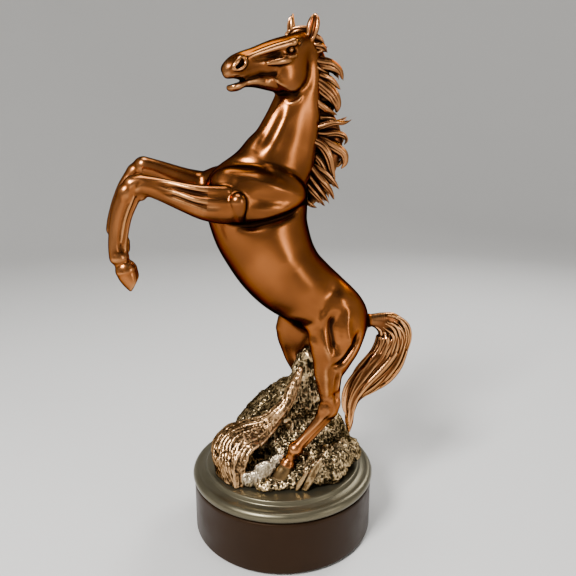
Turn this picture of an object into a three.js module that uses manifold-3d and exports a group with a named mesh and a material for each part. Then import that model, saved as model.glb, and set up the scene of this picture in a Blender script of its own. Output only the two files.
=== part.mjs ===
// Rearing horse statuette on a round turned base, cast in bronze in sections.
// Millimetres, +Z up. The origin is the centre of the felt's underside, and the viewer stands at -Y.
import * as THREE from "three";
import { LoftGeometry } from "three/addons/geometries/LoftGeometry.js";
import { mergeVertices } from "three/addons/utils/BufferGeometryUtils.js";
import Module from "manifold-3d";

const wasm = await Module();
wasm.setup();

// ---------------------------------------------------------------- driving dimensions
const GAP = 0.35; // clearance between two pieces that meet
const FELT_RADIUS = 60.5;
const FELT_TOP = 1.2;
const DRUM_RADIUS = 62.8;
const DRUM_TOP = 35;
const RIM_RADIUS = 64; // the widest bead of the moulding
const STEP_RADIUS = 54; // the raised disc that carries the ground casting
const STEP_TOP = 48.2;
const BOLT_RADIUS = 2.5;
const BOLT_HEAD_RADIUS = 4.25;
const BOLT_HEAD_HEIGHT = 5;
const WASHER_RADIUS = 5;
const WASHER_THICKNESS = 1;
const COUNTERBORE_DEPTH = 9;
const BOLT_END = 60; // how high the ground bolts reach
const BOLT_PLACES = [
  [-20, 24],
  [26, 8],
];
const HORSE_TURN = THREE.MathUtils.degToRad(15); // the horse faces -X, turned towards the viewer
const HORSE_PLACE = [0, -16, 0];
const HEAD_TURN = THREE.MathUtils.degToRad(25);
const HEAD_DROP = THREE.MathUtils.degToRad(25);
const POLL = [14.5, 0, 329]; // top of the head between the ears, in the horse's own frame
const STUD_RADIUS = 1.5;
const STUD_LENGTH = 8;

// ---------------------------------------------------------------- materials
const metal = (color, roughness) => new THREE.MeshStandardMaterial({ color, roughness, metalness: 1 });
const bronze = metal(0xb4652f, 0.28);
const groundBronze = metal(0x6b4a2c, 0.45);
const steel = metal(0xb9bcc0, 0.35);
const lacquer = new THREE.MeshStandardMaterial({ color: 0x16120f, roughness: 0.35, metalness: 0 });
const felt = new THREE.MeshStandardMaterial({ color: 0x1f2a24, roughness: 0.95, metalness: 0 });

// ---------------------------------------------------------------- solids
function solidOf(geometry) {
  const bare = new THREE.BufferGeometry().copy(geometry);
  for (const name of Object.keys(bare.attributes)) if (name !== "position") bare.deleteAttribute(name);
  const merged = mergeVertices(bare, 1e-4);
  return new wasm.Manifold(
    new wasm.Mesh({
      numProp: 3,
      vertProperties: merged.attributes.position.array,
      triVerts: new Uint32Array(merged.index.array),
    }),
  );
}

function geometryOf(solid) {
  const { numProp, numVert, vertProperties, triVerts } = solid.getMesh();
  const positions = new Float32Array(numVert * 3);
  for (let i = 0; i < numVert; i++) {
    positions.set(vertProperties.subarray(i * numProp, i * numProp + 3), i * 3);
  }
  const geometry = new THREE.BufferGeometry();
  geometry.setAttribute("position", new THREE.BufferAttribute(positions, 3));
  geometry.setIndex(new THREE.BufferAttribute(new Uint32Array(triVerts), 1));
  geometry.computeVertexNormals();
  return geometry;
}

// The largest body of a geometry after other geometries are cut from it.
function carve(geometry, ...cutters) {
  const cut = cutters.reduce((left, cutter) => left.subtract(solidOf(cutter)), solidOf(geometry));
  const bodies = cut.decompose().sort((a, b) => b.volume() - a.volume());
  return geometryOf(bodies[0]);
}

function piece(name, geometry, material) {
  const mesh = new THREE.Mesh(geometry, material);
  mesh.name = name;
  return mesh;
}

// A rounded body through oval sections. A station is [x, y, z, half width, half depth]: the width lies
// along the side direction and the depth across it.
function limb(stations, { sides = 14, steps = 18, grow = 0, side = [0, 1, 0] } = {}) {
  const spine = new THREE.CatmullRomCurve3(stations.map(([x, y, z]) => new THREE.Vector3(x, y, z)));
  const girth = new THREE.CatmullRomCurve3(stations.map(([, , , w, d]) => new THREE.Vector3(w, d, 0)));
  const across = new THREE.Vector3(...side);
  const sections = [];
  for (let i = 0; i <= steps; i++) {
    const centre = spine.getPoint(i / steps);
    const tangent = spine.getTangent(i / steps);
    const half = girth.getPoint(i / steps);
    const lateral = across.clone().addScaledVector(tangent, -across.dot(tangent)).normalize();
    const normal = tangent.clone().cross(lateral);
    const ring = [];
    for (let j = 0; j < sides; j++) {
      const angle = (j / sides) * 2 * Math.PI;
      ring.push(
        centre
          .clone()
          .addScaledVector(lateral, (half.x + grow) * Math.cos(angle))
          .addScaledVector(normal, (half.y + grow) * Math.sin(angle)),
      );
    }
    sections.push(ring);
  }
  return new LoftGeometry(sections, { capStart: true, capEnd: true });
}

// A part turned on the Z axis: its profile is a list of [radius, height], from the axis back to the axis.
function turned(profile, segments = 48) {
  const lathe = new THREE.LatheGeometry(
    profile.map(([r, z]) => new THREE.Vector2(r, z)),
    segments,
  );
  return lathe.rotateX(Math.PI / 2);
}

const rod = (radius, low, high, x = 0, y = 0, segments = 20) =>
  new THREE.CylinderGeometry(radius, radius, high - low, segments)
    .rotateX(Math.PI / 2)
    .translate(x, y, (low + high) / 2);

// ---------------------------------------------------------------- the turned base
function feltPad() {
  return turned([[0, 0], [FELT_RADIUS, 0], [FELT_RADIUS, FELT_TOP], [0, FELT_TOP]]);
}

function baseDrum() {
  const bottom = FELT_TOP + GAP;
  const drum = turned([
    [0, bottom],
    [DRUM_RADIUS - 1.5, bottom],
    [DRUM_RADIUS - 0.4, bottom + 0.5],
    [DRUM_RADIUS, bottom + 1.6],
    [DRUM_RADIUS, DRUM_TOP],
    [0, DRUM_TOP],
  ]);
  const holes = BOLT_PLACES.flatMap(([x, y]) => [
    rod(BOLT_RADIUS + GAP, bottom - 1, DRUM_TOP + 1, x, y),
    rod(WASHER_RADIUS + GAP, bottom - 1, bottom + COUNTERBORE_DEPTH, x, y, 24),
  ]);
  return carve(drum, ...holes);
}

function baseMoulding() {
  const bottom = DRUM_TOP + GAP;
  const beadRadius = 3.6;
  const beadHeight = 40.2;
  const profile = [[0, bottom], [DRUM_RADIUS - 0.6, bottom]];
  for (let i = 0; i <= 8; i++) {
    const angle = THREE.MathUtils.degToRad(-75 + i * 20);
    profile.push([
      RIM_RADIUS - beadRadius + beadRadius * Math.cos(angle),
      beadHeight + 1.15 * beadRadius * Math.sin(angle),
    ]);
  }
  profile.push([57.2, 43.9], [55.2, 44.6], [STEP_RADIUS, 45.6]);
  profile.push([STEP_RADIUS, STEP_TOP - 0.8], [STEP_RADIUS - 0.8, STEP_TOP], [0, STEP_TOP]);
  const holes = BOLT_PLACES.map(([x, y]) => rod(BOLT_RADIUS + GAP, bottom - 1, STEP_TOP + 1, x, y));
  return carve(turned(profile), ...holes);
}

function groundBolt([x, y]) {
  const seat = FELT_TOP + GAP + COUNTERBORE_DEPTH;
  const headTop = seat - WASHER_THICKNESS - 2 * GAP;
  const shank = rod(BOLT_RADIUS, headTop - 0.5, BOLT_END, x, y);
  const head = rod(BOLT_HEAD_RADIUS, headTop - BOLT_HEAD_HEIGHT, headTop, x, y);
  const hexSocket = rod(2.3, headTop - BOLT_HEAD_HEIGHT - 1, headTop - 2.2, x, y, 6);
  return geometryOf(solidOf(shank).add(solidOf(head)).subtract(solidOf(hexSocket)));
}

function boltWasher([x, y]) {
  const top = FELT_TOP + COUNTERBORE_DEPTH;
  return carve(
    rod(WASHER_RADIUS, top - WASHER_THICKNESS, top, x, y, 24),
    rod(BOLT_RADIUS + GAP, top - 3, top + 2, x, y),
  );
}

// ---------------------------------------------------------------- the ground casting and what grows on it
// A rough hill as a stack of rings. A level is [height, centre x, centre y, half length, half width].
const HILL = [
  [48.2, 0, 3, 49, 42],
  [52, 0, 3, 50, 43],
  [55, 1, 8, 48, 37],
  [60, 3, 16, 43, 27],
  [68, 4, 21, 36, 20],
  [77, 2, 23, 27, 16],
  [86, 3, 24, 19, 13],
  [93, 5, 24, 12, 9],
  [98, 7, 24, 4, 4],
];

function hill(grow = 0) {
  const sides = 32;
  const sections = HILL.map(([z, cx, cy, a, b], level) => {
    const ring = [];
    for (let j = 0; j < sides; j++) {
      const angle = (j / sides) * 2 * Math.PI;
      const lump = 1 + 0.05 * Math.sin(5 * angle + level) + 0.03 * Math.sin(9 * angle - 2 * level);
      const height = z + grow + (level ? 0 : GAP - grow);
      ring.push(
        new THREE.Vector3(
          cx + (a + grow) * lump * Math.cos(angle),
          cy + (b + grow) * lump * Math.sin(angle),
          height,
        ),
      );
    }
    return ring;
  });
  return new LoftGeometry(sections, { capStart: true, capEnd: true });
}

const DRIFTWOOD = [
  [-24, -45, 52, 7, 4],
  [-36, -31, 60, 13, 9],
  [-36, -22, 69, 12, 8],
  [-27, -20, 76, 8, 6],
  [-15, -18, 84, 5, 4.5],
  [-4, -14, 93, 4.5, 4],
  [4, -7, 104, 4.5, 4],
  [10, -3, 117, 4.5, 4],
  [14, -1, 128, 4, 3.6],
  [16, -1, 136, 2.4, 2.2],
];
const driftwood = (grow = 0) => limb(DRIFTWOOD, { sides: 12, steps: 26, grow, side: [0.5, -0.8, 0] });

const FLAT_STONE = [
  [-21, -42, 52.5, 5, 2.4],
  [-14, -40, 57, 7, 3],
  [-6, -35, 62, 7, 3],
  [0, -29, 66, 4, 2],
];
const flatStone = (grow = 0) => limb(FLAT_STONE, { sides: 10, steps: 8, grow, side: [1, -0.4, 0] });

// Two leaning shards of slate: stations from foot to point.
const SHARDS = {
  slate_shard_tall: [
    [14.5, -43.5, 50, 1.5, 4],
    [19, -40, 58, 1.5, 4.2],
    [22.5, -37.5, 65, 1.3, 3.4],
    [25, -36, 71, 0.6, 0.8],
  ],
  slate_shard_short: [
    [8.5, -44, 50, 1.3, 2.6],
    [12, -42.5, 55, 1.3, 2.8],
    [15, -41.2, 60, 1.1, 2],
    [17, -40.5, 64, 0.5, 0.6],
  ],
};
const shard = (name, grow = 0) => limb(SHARDS[name], { sides: 8, steps: 6, grow, side: [0.8, 0.6, 0] });

const TUSSOCK = [
  [30, -14, 56, 10, 8],
  [37, -15, 61, 13, 9],
  [44, -11, 62, 12, 9],
  [48, -5, 60, 7, 6],
];
const tussock = (grow = 0) => limb(TUSSOCK, { sides: 14, steps: 10, grow, side: [0.2, 1, 0] });

// ---------------------------------------------------------------- the horse, in its own frame: it faces -X
const TORSO = [
  [-19, 0, 251, 9, 20],
  [-18, 0, 244, 16.5, 29],
  [-16, 0, 232, 21, 32],
  [-14.5, 0, 218.7, 23.6, 30.9],
  [-10.5, 0, 207, 25.4, 29.4],
  [-5, 0, 195.5, 26, 27.6],
  [3, 0, 184.5, 25.6, 25.8],
  [13.5, 0, 175, 24, 24],
  [25, 0, 167, 22.4, 21.8],
  [35.5, 0, 159.5, 20.5, 19.4],
  [44, 0, 150.5, 15.5, 15.5],
  [49, 0, 146.5, 8, 9],
];
const torso = (grow = 0) => limb(TORSO, { sides: 24, steps: 24, grow });

const NECK = [
  [-12, 0, 240, 16, 25],
  [-3.5, 0, 253, 15, 22.6],
  [2, 0, 262, 13.4, 20],
  [6.5, 0, 273, 12, 17.5],
  [9.5, 0, 283, 10.8, 15.2],
  [11.6, 0, 292.5, 9.9, 13.2],
  [13, 0, 303.5, 9.2, 11.4],
  [14, 0, 313, 8.6, 9.8],
  [14.5, 0, 320, 6, 7.4],
];
const neck = (grow = 0) => limb(NECK, { sides: 20, steps: 14, grow });

// Head and jaw run along -X from the poll in the head's own frame, which is then turned and lowered.
const HEAD = [
  [4, 0, -10, 6, 6],
  [-3, 0, -8.6, 8.6, 8],
  [-11, 0, -8.4, 9.6, 9.4],
  [-19, 0, -7.4, 9.9, 10],
  [-26, 0, -6, 9.4, 9.8],
  [-33, 0, -4.8, 8, 8.8],
  [-42, 0, -3.3, 6.4, 7],
  [-50, 0, -2.3, 6, 6.4],
  [-56, 0, -1.4, 6.4, 5.8],
  [-60, 0, -0.8, 5.8, 4.8],
  [-63, 0, -0.9, 4, 2.8],
];
const JAW = [
  [-20, 0, -15, 6.5, 7.5],
  [-27, 0, -18, 6, 7],
  [-34, 0, -17.4, 5.6, 6.2],
  [-40, 0, -14.6, 5.2, 4.6],
  [-46, 0, -12, 4.8, 3.2],
  [-51, 0, -10.2, 4.4, 2.4],
  [-56, 0, -9.4, 4.2, 1.9],
  [-61, 0, -9.3, 4.4, 2],
  [-64.8, 0, -8.8, 3.4, 1.4],
];
const LEFT_EAR = [
  [-4.8, -6.4, -5, 1.8, 2],
  [-3.4, -7.2, -1.8, 2.7, 2.3],
  [-1.3, -7.7, 1.6, 3.5, 2.5],
  [1.2, -7.8, 4.6, 3.1, 2],
  [3.3, -7.4, 6.9, 1.7, 1.2],
  [4.6, -7.1, 8.2, 0.5, 0.5],
];
const RIGHT_EAR = [
  [-4.6, 6.4, -4, 1.8, 2],
  [-3.9, 7.1, 1, 2.6, 2.3],
  [-2.7, 7.4, 5, 2.9, 2.2],
  [-1, 7.4, 8.4, 2.1, 1.6],
  [1.2, 7, 11.6, 0.5, 0.5],
];
const FORELOCK = [
  [2, -4, 1, 2.8, 2],
  [-3, 0, 4, 3.6, 2.2],
  [-8, 3, 5, 3, 2],
  [-12, 4.4, 3.6, 1.4, 1.2],
];

const headFrame = new THREE.Matrix4()
  .makeTranslation(...POLL)
  .multiply(new THREE.Matrix4().makeRotationZ(HEAD_TURN))
  .multiply(new THREE.Matrix4().makeRotationY(-HEAD_DROP));
const mirrored = (stations) => stations.map(([x, y, z, w, d]) => [x, -y, z, w, d]);
const onHead = (stations, options) => limb(stations, options).applyMatrix4(headFrame);
const head = (grow = 0) => onHead(HEAD, { sides: 18, steps: 18, grow });
const jaw = (grow = 0) => onHead(JAW, { sides: 12, steps: 10, grow });

// Locks of the mane, from the poll down to the withers: each leaves the crest and blows back.
const MANE = {
  mane_crest: [
    [16, 0, 331, 3, 3],
    [24, 0, 322, 4.5, 6],
    [30, 0.5, 310, 6, 8],
    [31, 1, 298, 6, 8.5],
    [29, 1, 286, 4, 6],
  ],
  mane_middle: [
    [30, 0, 288, 4, 6],
    [32.5, 1, 279, 6, 10],
    [34, 2, 266, 6, 10.5],
    [32, 2, 254, 4, 7],
  ],
  mane_lower: [
    [31, 2, 255, 4, 6.5],
    [29.5, 2, 246, 5.5, 8.5],
    [26.5, 1.5, 236, 4.5, 6.5],
    [22, 1, 227, 1.6, 2.2],
  ],
};
const maneLock = (name, grow = 0) => limb(MANE[name], { sides: 12, steps: 12, grow });

const TAIL_UPPER = [
  [50, 0, 150.6, 5, 5],
  [60, 0, 150.4, 4.4, 4.4],
  [66, 0, 149.8, 4.8, 5],
  [72, 0, 147.6, 5, 7],
  [77.6, -0.5, 142.8, 5.4, 9.4],
  [80, -1, 135.5, 5.4, 10.4],
];
const TAIL_LOWER = [
  [80, -1.1, 134.6, 5.4, 10.4],
  [78.6, -2, 127, 5.2, 11],
  [73, -3, 118, 5, 11.4],
  [63, -4.2, 109, 4.8, 10.6],
  [54.5, -5.2, 102.5, 4.2, 8],
  [49.4, -6, 95, 3.4, 5],
  [47.2, -6.4, 87, 2.8, 3.2],
  [46.2, -6.8, 80, 2.4, 2.8],
  [45.6, -7, 73.6, 1.2, 1.4],
];
const tailUpper = (grow = 0) => limb(TAIL_UPPER, { sides: 12, steps: 14, grow });

const LEFT_FOREARM = [
  [-24, -15, 236, 7, 12],
  [-33, -22, 234.5, 9, 12],
  [-46, -23, 234.5, 9, 10.2],
  [-60, -21, 237, 7.4, 7.8],
  [-75, -18, 241, 6, 6],
  [-84, -17, 243.4, 6.2, 6.4],
  [-89, -16.5, 242, 4.6, 5],
];
const LEFT_CANNON = [
  [-87, -16.6, 244, 3, 4],
  [-90, -16.5, 239, 5.8, 6.2],
  [-95, -16, 228, 4.2, 5.2],
  [-98, -15.5, 216, 3.9, 4.8],
  [-98.6, -15, 206, 4.8, 5.6],
  [-97, -15, 199.5, 4, 4.5],
  [-95, -15, 196, 4.4, 4.8],
];
const LEFT_FORE_HOOF = [
  [-95, -15, 195.6, 4.8, 5.2],
  [-93.8, -15, 191.4, 5.2, 4.6],
  [-92.8, -15, 188, 4.6, 3],
];
const RIGHT_FOREARM = [
  [-26, 15, 240, 7, 12],
  [-35, 18, 241, 8.4, 11],
  [-47, 18, 243.5, 8, 9],
  [-60, 17, 247, 6.6, 7],
  [-72, 16.5, 250, 5.6, 5.6],
  [-80, 16, 252, 6, 6.2],
  [-85, 16, 250, 4.6, 5],
];
const RIGHT_CANNON = [
  [-82, 16, 252.5, 3, 4],
  [-86, 16, 247, 5.6, 6],
  [-92, 16, 236, 4.2, 5],
  [-97, 16, 225, 3.9, 4.6],
  [-98.6, 16, 217.5, 4.8, 5.4],
  [-96, 16, 211.5, 4, 4.4],
  [-93.6, 16, 208.5, 4.3, 4.7],
];
const RIGHT_FORE_HOOF = [
  [-93.2, 16, 208.1, 4.8, 5.4],
  [-89.8, 16, 203.5, 5.4, 5],
  [-87.4, 16, 200.2, 5.6, 3.6],
];
const LEFT_HIND_LEG = [
  [40, -9, 160, 9, 14],
  [33, -14, 152, 12, 18],
  [26.5, -17.5, 142, 11, 16.5],
  [24, -19, 131, 8.4, 12],
  [24.5, -19.5, 119, 6.4, 8.4],
  [26, -19.5, 110, 5.2, 6.8],
  [26.5, -19, 103, 5.6, 7.2],
  [20.5, -18.5, 95, 4.6, 5],
  [11.5, -17.5, 86.5, 3.9, 4.3],
  [3.5, -17, 79, 4.6, 4.9],
  [-0.5, -16.6, 73, 4.1, 4.4],
  [-3, -16.3, 67, 4.6, 5],
];
const LEFT_HIND_HOOF = [
  [-3.3, -16.2, 66.4, 5.2, 5.8],
  [-5.6, -16, 60, 6, 6.8],
  [-7.6, -16, 54.5, 6.6, 7.4],
];
// The right hind leg is a little ahead of the left one.
const stride = -6;
const ahead = (stations) => mirrored(stations).map(([x, y, z, w, d]) => [x + stride, y, z, w, d]);
const RIGHT_HIND_LEG = ahead(LEFT_HIND_LEG).map(([x, y, z, w, d]) => [x, y, z - 1.5, w, d]);
const RIGHT_HIND_HOOF = ahead(LEFT_HIND_HOOF).map(([x, y, z, w, d]) => [x, y, z - 1.5, w, d]);

const leg = (stations, grow = 0) => limb(stations, { sides: 12, steps: 22, grow });
const hoof = (stations, grow = 0) => limb(stations, { sides: 14, steps: 5, grow });

// A steel stud that stands in a hind hoof and a socket in the ground.
function studAt([x, y, z], radius = STUD_RADIUS, extra = 0) {
  return rod(radius, z - STUD_LENGTH / 2 - extra, z + STUD_LENGTH / 2 + extra, x, y, 12);
}
const soleOf = (stations) => stations[stations.length - 1];

// ---------------------------------------------------------------- assembly
const statue = new THREE.Group();
statue.add(piece("felt_pad", feltPad(), felt));
statue.add(piece("base_drum", baseDrum(), lacquer));
statue.add(piece("base_moulding", baseMoulding(), lacquer));
BOLT_PLACES.forEach((place, i) => {
  const which = ["left", "right"][i];
  statue.add(piece(`ground_bolt_${which}`, groundBolt(place), steel));
  statue.add(piece(`bolt_washer_${which}`, boltWasher(place), steel));
});

const horse = new THREE.Group();
horse.rotation.z = HORSE_TURN;
horse.position.set(...HORSE_PLACE);
horse.updateMatrix();
statue.add(horse);
const inStatue = (geometry) => new THREE.BufferGeometry().copy(geometry).applyMatrix4(horse.matrix);

const boltSockets = BOLT_PLACES.map(([x, y]) => rod(BOLT_RADIUS + GAP, 40, BOLT_END + 1, x, y));
const hindHooves = [LEFT_HIND_HOOF, RIGHT_HIND_HOOF];
const studHole = (stations) => studAt(soleOf(stations), STUD_RADIUS + GAP, GAP);
const studSockets = hindHooves.map((stations) => inStatue(studHole(stations)));
const hoofPockets = hindHooves.map((stations) => inStatue(hoof(stations, GAP)));
const fetlockPocket = inStatue(leg(RIGHT_HIND_LEG, GAP));
const growths = Object.keys(SHARDS).map((name) => shard(name, GAP));
statue.add(
  piece(
    "ground_casting",
    carve(
      hill(),
      ...boltSockets,
      ...studSockets,
      ...hoofPockets,
      fetlockPocket,
      driftwood(GAP),
      flatStone(GAP),
      tussock(GAP),
      ...growths,
    ),
    groundBronze,
  ),
);
const deck = rod(80, 0, STEP_TOP + GAP, 0, 0, 8); // everything under the top of the moulding
statue.add(
  piece(
    "driftwood_root",
    carve(
      driftwood(),
      deck,
      flatStone(GAP),
      inStatue(torso(GAP)),
      ...hoofPockets,
      fetlockPocket,
      inStatue(leg(LEFT_HIND_LEG, GAP)),
    ),
    groundBronze,
  ),
);
const nearLeg = inStatue(leg(LEFT_HIND_LEG, GAP));
statue.add(piece("flat_stone", carve(flatStone(), deck, ...hoofPockets, nearLeg), groundBronze));
for (const name of Object.keys(SHARDS)) statue.add(piece(name, carve(shard(name), deck), groundBronze));
statue.add(piece("grass_tussock", carve(tussock(), deck), groundBronze));

horse.add(piece("torso", torso(), bronze));
horse.add(piece("neck", carve(neck(), torso(GAP), head(GAP), jaw(GAP)), bronze));
horse.add(piece("head", carve(head(), jaw(GAP)), bronze));
horse.add(piece("lower_jaw", jaw(), bronze));
const ear = { sides: 10, steps: 8 };
horse.add(piece("left_ear", carve(onHead(LEFT_EAR, ear), head(GAP), neck(GAP)), bronze));
horse.add(piece("right_ear", carve(onHead(RIGHT_EAR, ear), head(GAP), neck(GAP)), bronze));
horse.add(
  piece(
    "forelock",
    carve(
      onHead(FORELOCK, { sides: 10, steps: 8 }),
      head(GAP),
      neck(GAP),
      onHead(LEFT_EAR, { ...ear, grow: GAP }),
      onHead(RIGHT_EAR, { ...ear, grow: GAP }),
    ),
    bronze,
  ),
);
const lockNames = Object.keys(MANE);
lockNames.forEach((name, i) => {
  const above = lockNames.slice(0, i).map((other) => maneLock(other, GAP));
  const near = [LEFT_EAR, RIGHT_EAR, FORELOCK].map((stations) => onHead(stations, { ...ear, grow: GAP }));
  const lock = carve(maneLock(name), neck(GAP), torso(GAP), head(GAP), ...near, ...above);
  horse.add(piece(name, lock, bronze));
});
horse.add(piece("tail_dock", carve(tailUpper(), torso(GAP)), bronze));
const tailLower = limb(TAIL_LOWER, { sides: 12, steps: 18 });
horse.add(piece("tail_switch", carve(tailLower, tailUpper(GAP)), bronze));

const forelegs = {
  left: [LEFT_FOREARM, LEFT_CANNON, LEFT_FORE_HOOF],
  right: [RIGHT_FOREARM, RIGHT_CANNON, RIGHT_FORE_HOOF],
};
for (const [which, [forearm, cannon, foot]] of Object.entries(forelegs)) {
  horse.add(piece(`${which}_forearm`, carve(leg(forearm), torso(GAP), neck(GAP)), bronze));
  horse.add(piece(`${which}_fore_cannon`, carve(leg(cannon), leg(forearm, GAP)), bronze));
  horse.add(piece(`${which}_fore_hoof`, carve(hoof(foot), leg(cannon, GAP)), bronze));
}
const hindlegs = {
  left: [LEFT_HIND_LEG, LEFT_HIND_HOOF],
  right: [RIGHT_HIND_LEG, RIGHT_HIND_HOOF],
};
for (const [which, [limbStations, foot]] of Object.entries(hindlegs)) {
  horse.add(piece(`${which}_hind_leg`, carve(leg(limbStations), torso(GAP)), bronze));
  horse.add(piece(`${which}_hind_hoof`, carve(hoof(foot), leg(limbStations, GAP), studHole(foot)), bronze));
  horse.add(piece(`${which}_hoof_stud`, studAt(soleOf(foot)), steel));
}

export default statue;
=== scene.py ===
"""Looks for the rearing horse statuette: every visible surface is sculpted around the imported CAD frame.

Forms are modelled as clay: signed distances on a grid, built from swept ovals, lumps and strands.
The horse's tables are in millimetres in the horse's own frame, where it faces -X and its left side faces -Y.
"""

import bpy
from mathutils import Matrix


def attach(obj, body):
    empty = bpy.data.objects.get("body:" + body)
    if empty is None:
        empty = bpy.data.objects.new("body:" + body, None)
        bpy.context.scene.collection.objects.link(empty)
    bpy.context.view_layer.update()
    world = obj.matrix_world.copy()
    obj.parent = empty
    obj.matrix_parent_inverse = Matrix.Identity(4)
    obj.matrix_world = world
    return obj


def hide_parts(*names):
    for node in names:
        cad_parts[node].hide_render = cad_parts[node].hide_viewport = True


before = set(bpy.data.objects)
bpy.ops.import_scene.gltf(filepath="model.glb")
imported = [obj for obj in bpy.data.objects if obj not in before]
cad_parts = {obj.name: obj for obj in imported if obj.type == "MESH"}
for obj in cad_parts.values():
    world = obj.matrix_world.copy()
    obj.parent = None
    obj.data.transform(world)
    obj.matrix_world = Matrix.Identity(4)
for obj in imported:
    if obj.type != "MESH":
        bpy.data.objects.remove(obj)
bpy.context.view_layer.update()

import copy
import math

import bmesh
import bpy
import numpy as np
import openvdb
from mathutils import Matrix, Vector

MM = 0.001
COARSE = 1.0
EMPTY = 60.0  # the distance in a block where nothing has been added yet
FINE_SIZE = 2.0  # what a surface is compared with for its small hollows, and for its broad ones
WIDE_SIZE = 6.6

# The horse's own frame, and the head's frame in it, as in the CAD.
HORSE = Matrix.Translation((0, -16, 0)) @ Matrix.Rotation(math.radians(15), 4, "Z")
HEAD = (
    Matrix.Translation((14.5, 0, 329))
    @ Matrix.Rotation(math.radians(25), 4, "Z")
    @ Matrix.Rotation(math.radians(-25), 4, "Y")
)
IDENTITY = Matrix.Identity(4)


# ---------------------------------------------------------------- curves and shapes
def smooth_curve(rows, steps):
    """Catmull-Rom through rows of numbers, with the same number of steps between each two."""
    rows = np.array(rows, float)
    padded = np.vstack([2 * rows[0] - rows[1], rows, 2 * rows[-1] - rows[-2]])
    out = []
    for i in range(1, len(padded) - 2):
        a, b, c, d = padded[i - 1 : i + 3]
        for t in np.linspace(0, 1, steps, endpoint=False):
            bend = (2 * a - 5 * b + 4 * c - d) * t**2 + (3 * b - a - 3 * c + d) * t**3
            out.append(0.5 * (2 * b + (c - a) * t + bend))
    out.append(rows[-1])
    return np.array(out)


def moved_points(matrix, points):
    m = np.array(matrix)
    return np.asarray(points, float) @ m[:3, :3].T + m[:3, 3]


def unit(v):
    v = np.asarray(v, float)
    return v / np.maximum(np.linalg.norm(v, axis=-1, keepdims=True), 1e-9)


class Sweep:
    """An oval swept along a curve. A station is (x, y, z, half width, half depth)."""

    def __init__(self, stations, side=(0, 1, 0), steps=5, at=IDENTITY):
        rows = smooth_curve(stations, steps)
        self.points = moved_points(at, rows[:, :3])
        self.half = np.maximum(rows[:, 3:5], 0.15)
        tangents = unit(np.gradient(self.points, axis=0))
        across = np.array(at)[:3, :3] @ np.array(side, float)
        self.lateral = unit(across - (tangents @ across)[:, None] * tangents)
        self.normal = np.cross(tangents, self.lateral)
        reach = self.half.max(1)[:, None]
        self.low = (self.points - reach).min(0)
        self.high = (self.points + reach).max(0)

    def measure(self, clay, window, margin):
        local = np.full(clay.shape(window), EMPTY, np.float32)
        for i in range(len(self.points) - 1):
            a, b = self.points[i], self.points[i + 1]
            reach = self.half[i : i + 2].max() + margin
            low, high = np.minimum(a, b) - reach, np.maximum(a, b) + reach
            sub = clay.window(low, high, window)
            if sub is None:
                continue
            x, y, z = clay.coordinates(sub)
            d = b - a
            length2 = max(float(d @ d), 1e-9)
            px, py, pz = x - a[0], y - a[1], z - a[2]
            t = np.clip((px * d[0] + py * d[1] + pz * d[2]) / length2, 0, 1)
            qx, qy, qz = px - t * d[0], py - t * d[1], pz - t * d[2]
            lateral = unit(self.lateral[i] + self.lateral[i + 1])
            normal = unit(self.normal[i] + self.normal[i + 1])
            u = qx * lateral[0] + qy * lateral[1] + qz * lateral[2]
            v = qx * normal[0] + qy * normal[1] + qz * normal[2]
            rest = np.maximum(qx * qx + qy * qy + qz * qz - u * u - v * v, 0)
            (w0, d0), (w1, d1) = self.half[i], self.half[i + 1]
            w = w0 + t * (w1 - w0)
            h = d0 + t * (d1 - d0)
            e2 = np.minimum(w, h) ** 2
            k0 = np.sqrt((u / w) ** 2 + (v / h) ** 2 + rest / e2)
            k1 = np.sqrt((u / w**2) ** 2 + (v / h**2) ** 2 + rest / e2**2) + 1e-6
            place = clay.inside(sub, window)
            np.minimum(local[place], k0 * (k0 - 1) / k1, out=local[place])
        return local


class Strands:
    """Many thin round strands: each is an array of rows (x, y, z, radius)."""

    def __init__(self, strands, at=IDENTITY):
        self.strands = [np.column_stack([moved_points(at, s[:, :3]), s[:, 3]]) for s in strands]
        rows = np.vstack(self.strands)
        self.low = (rows[:, :3] - rows[:, 3:]).min(0)
        self.high = (rows[:, :3] + rows[:, 3:]).max(0)

    def measure(self, clay, window, margin):
        margin = min(margin, 1.5 + 3 * clay.step)
        local = np.full(clay.shape(window), EMPTY, np.float32)
        for rows in self.strands:
            for a, b in zip(rows[:-1], rows[1:]):
                reach = max(a[3], b[3]) + margin
                low, high = np.minimum(a, b)[:3] - reach, np.maximum(a, b)[:3] + reach
                sub = clay.window(low, high, window)
                if sub is None:
                    continue
                x, y, z = clay.coordinates(sub)
                d = b[:3] - a[:3]
                px, py, pz = x - a[0], y - a[1], z - a[2]
                t = np.clip((px * d[0] + py * d[1] + pz * d[2]) / max(float(d @ d), 1e-9), 0, 1)
                q = np.sqrt((px - t * d[0]) ** 2 + (py - t * d[1]) ** 2 + (pz - t * d[2]) ** 2)
                place = clay.inside(sub, window)
                np.minimum(local[place], q - a[3] - t * (b[3] - a[3]), out=local[place])
        return local


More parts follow.
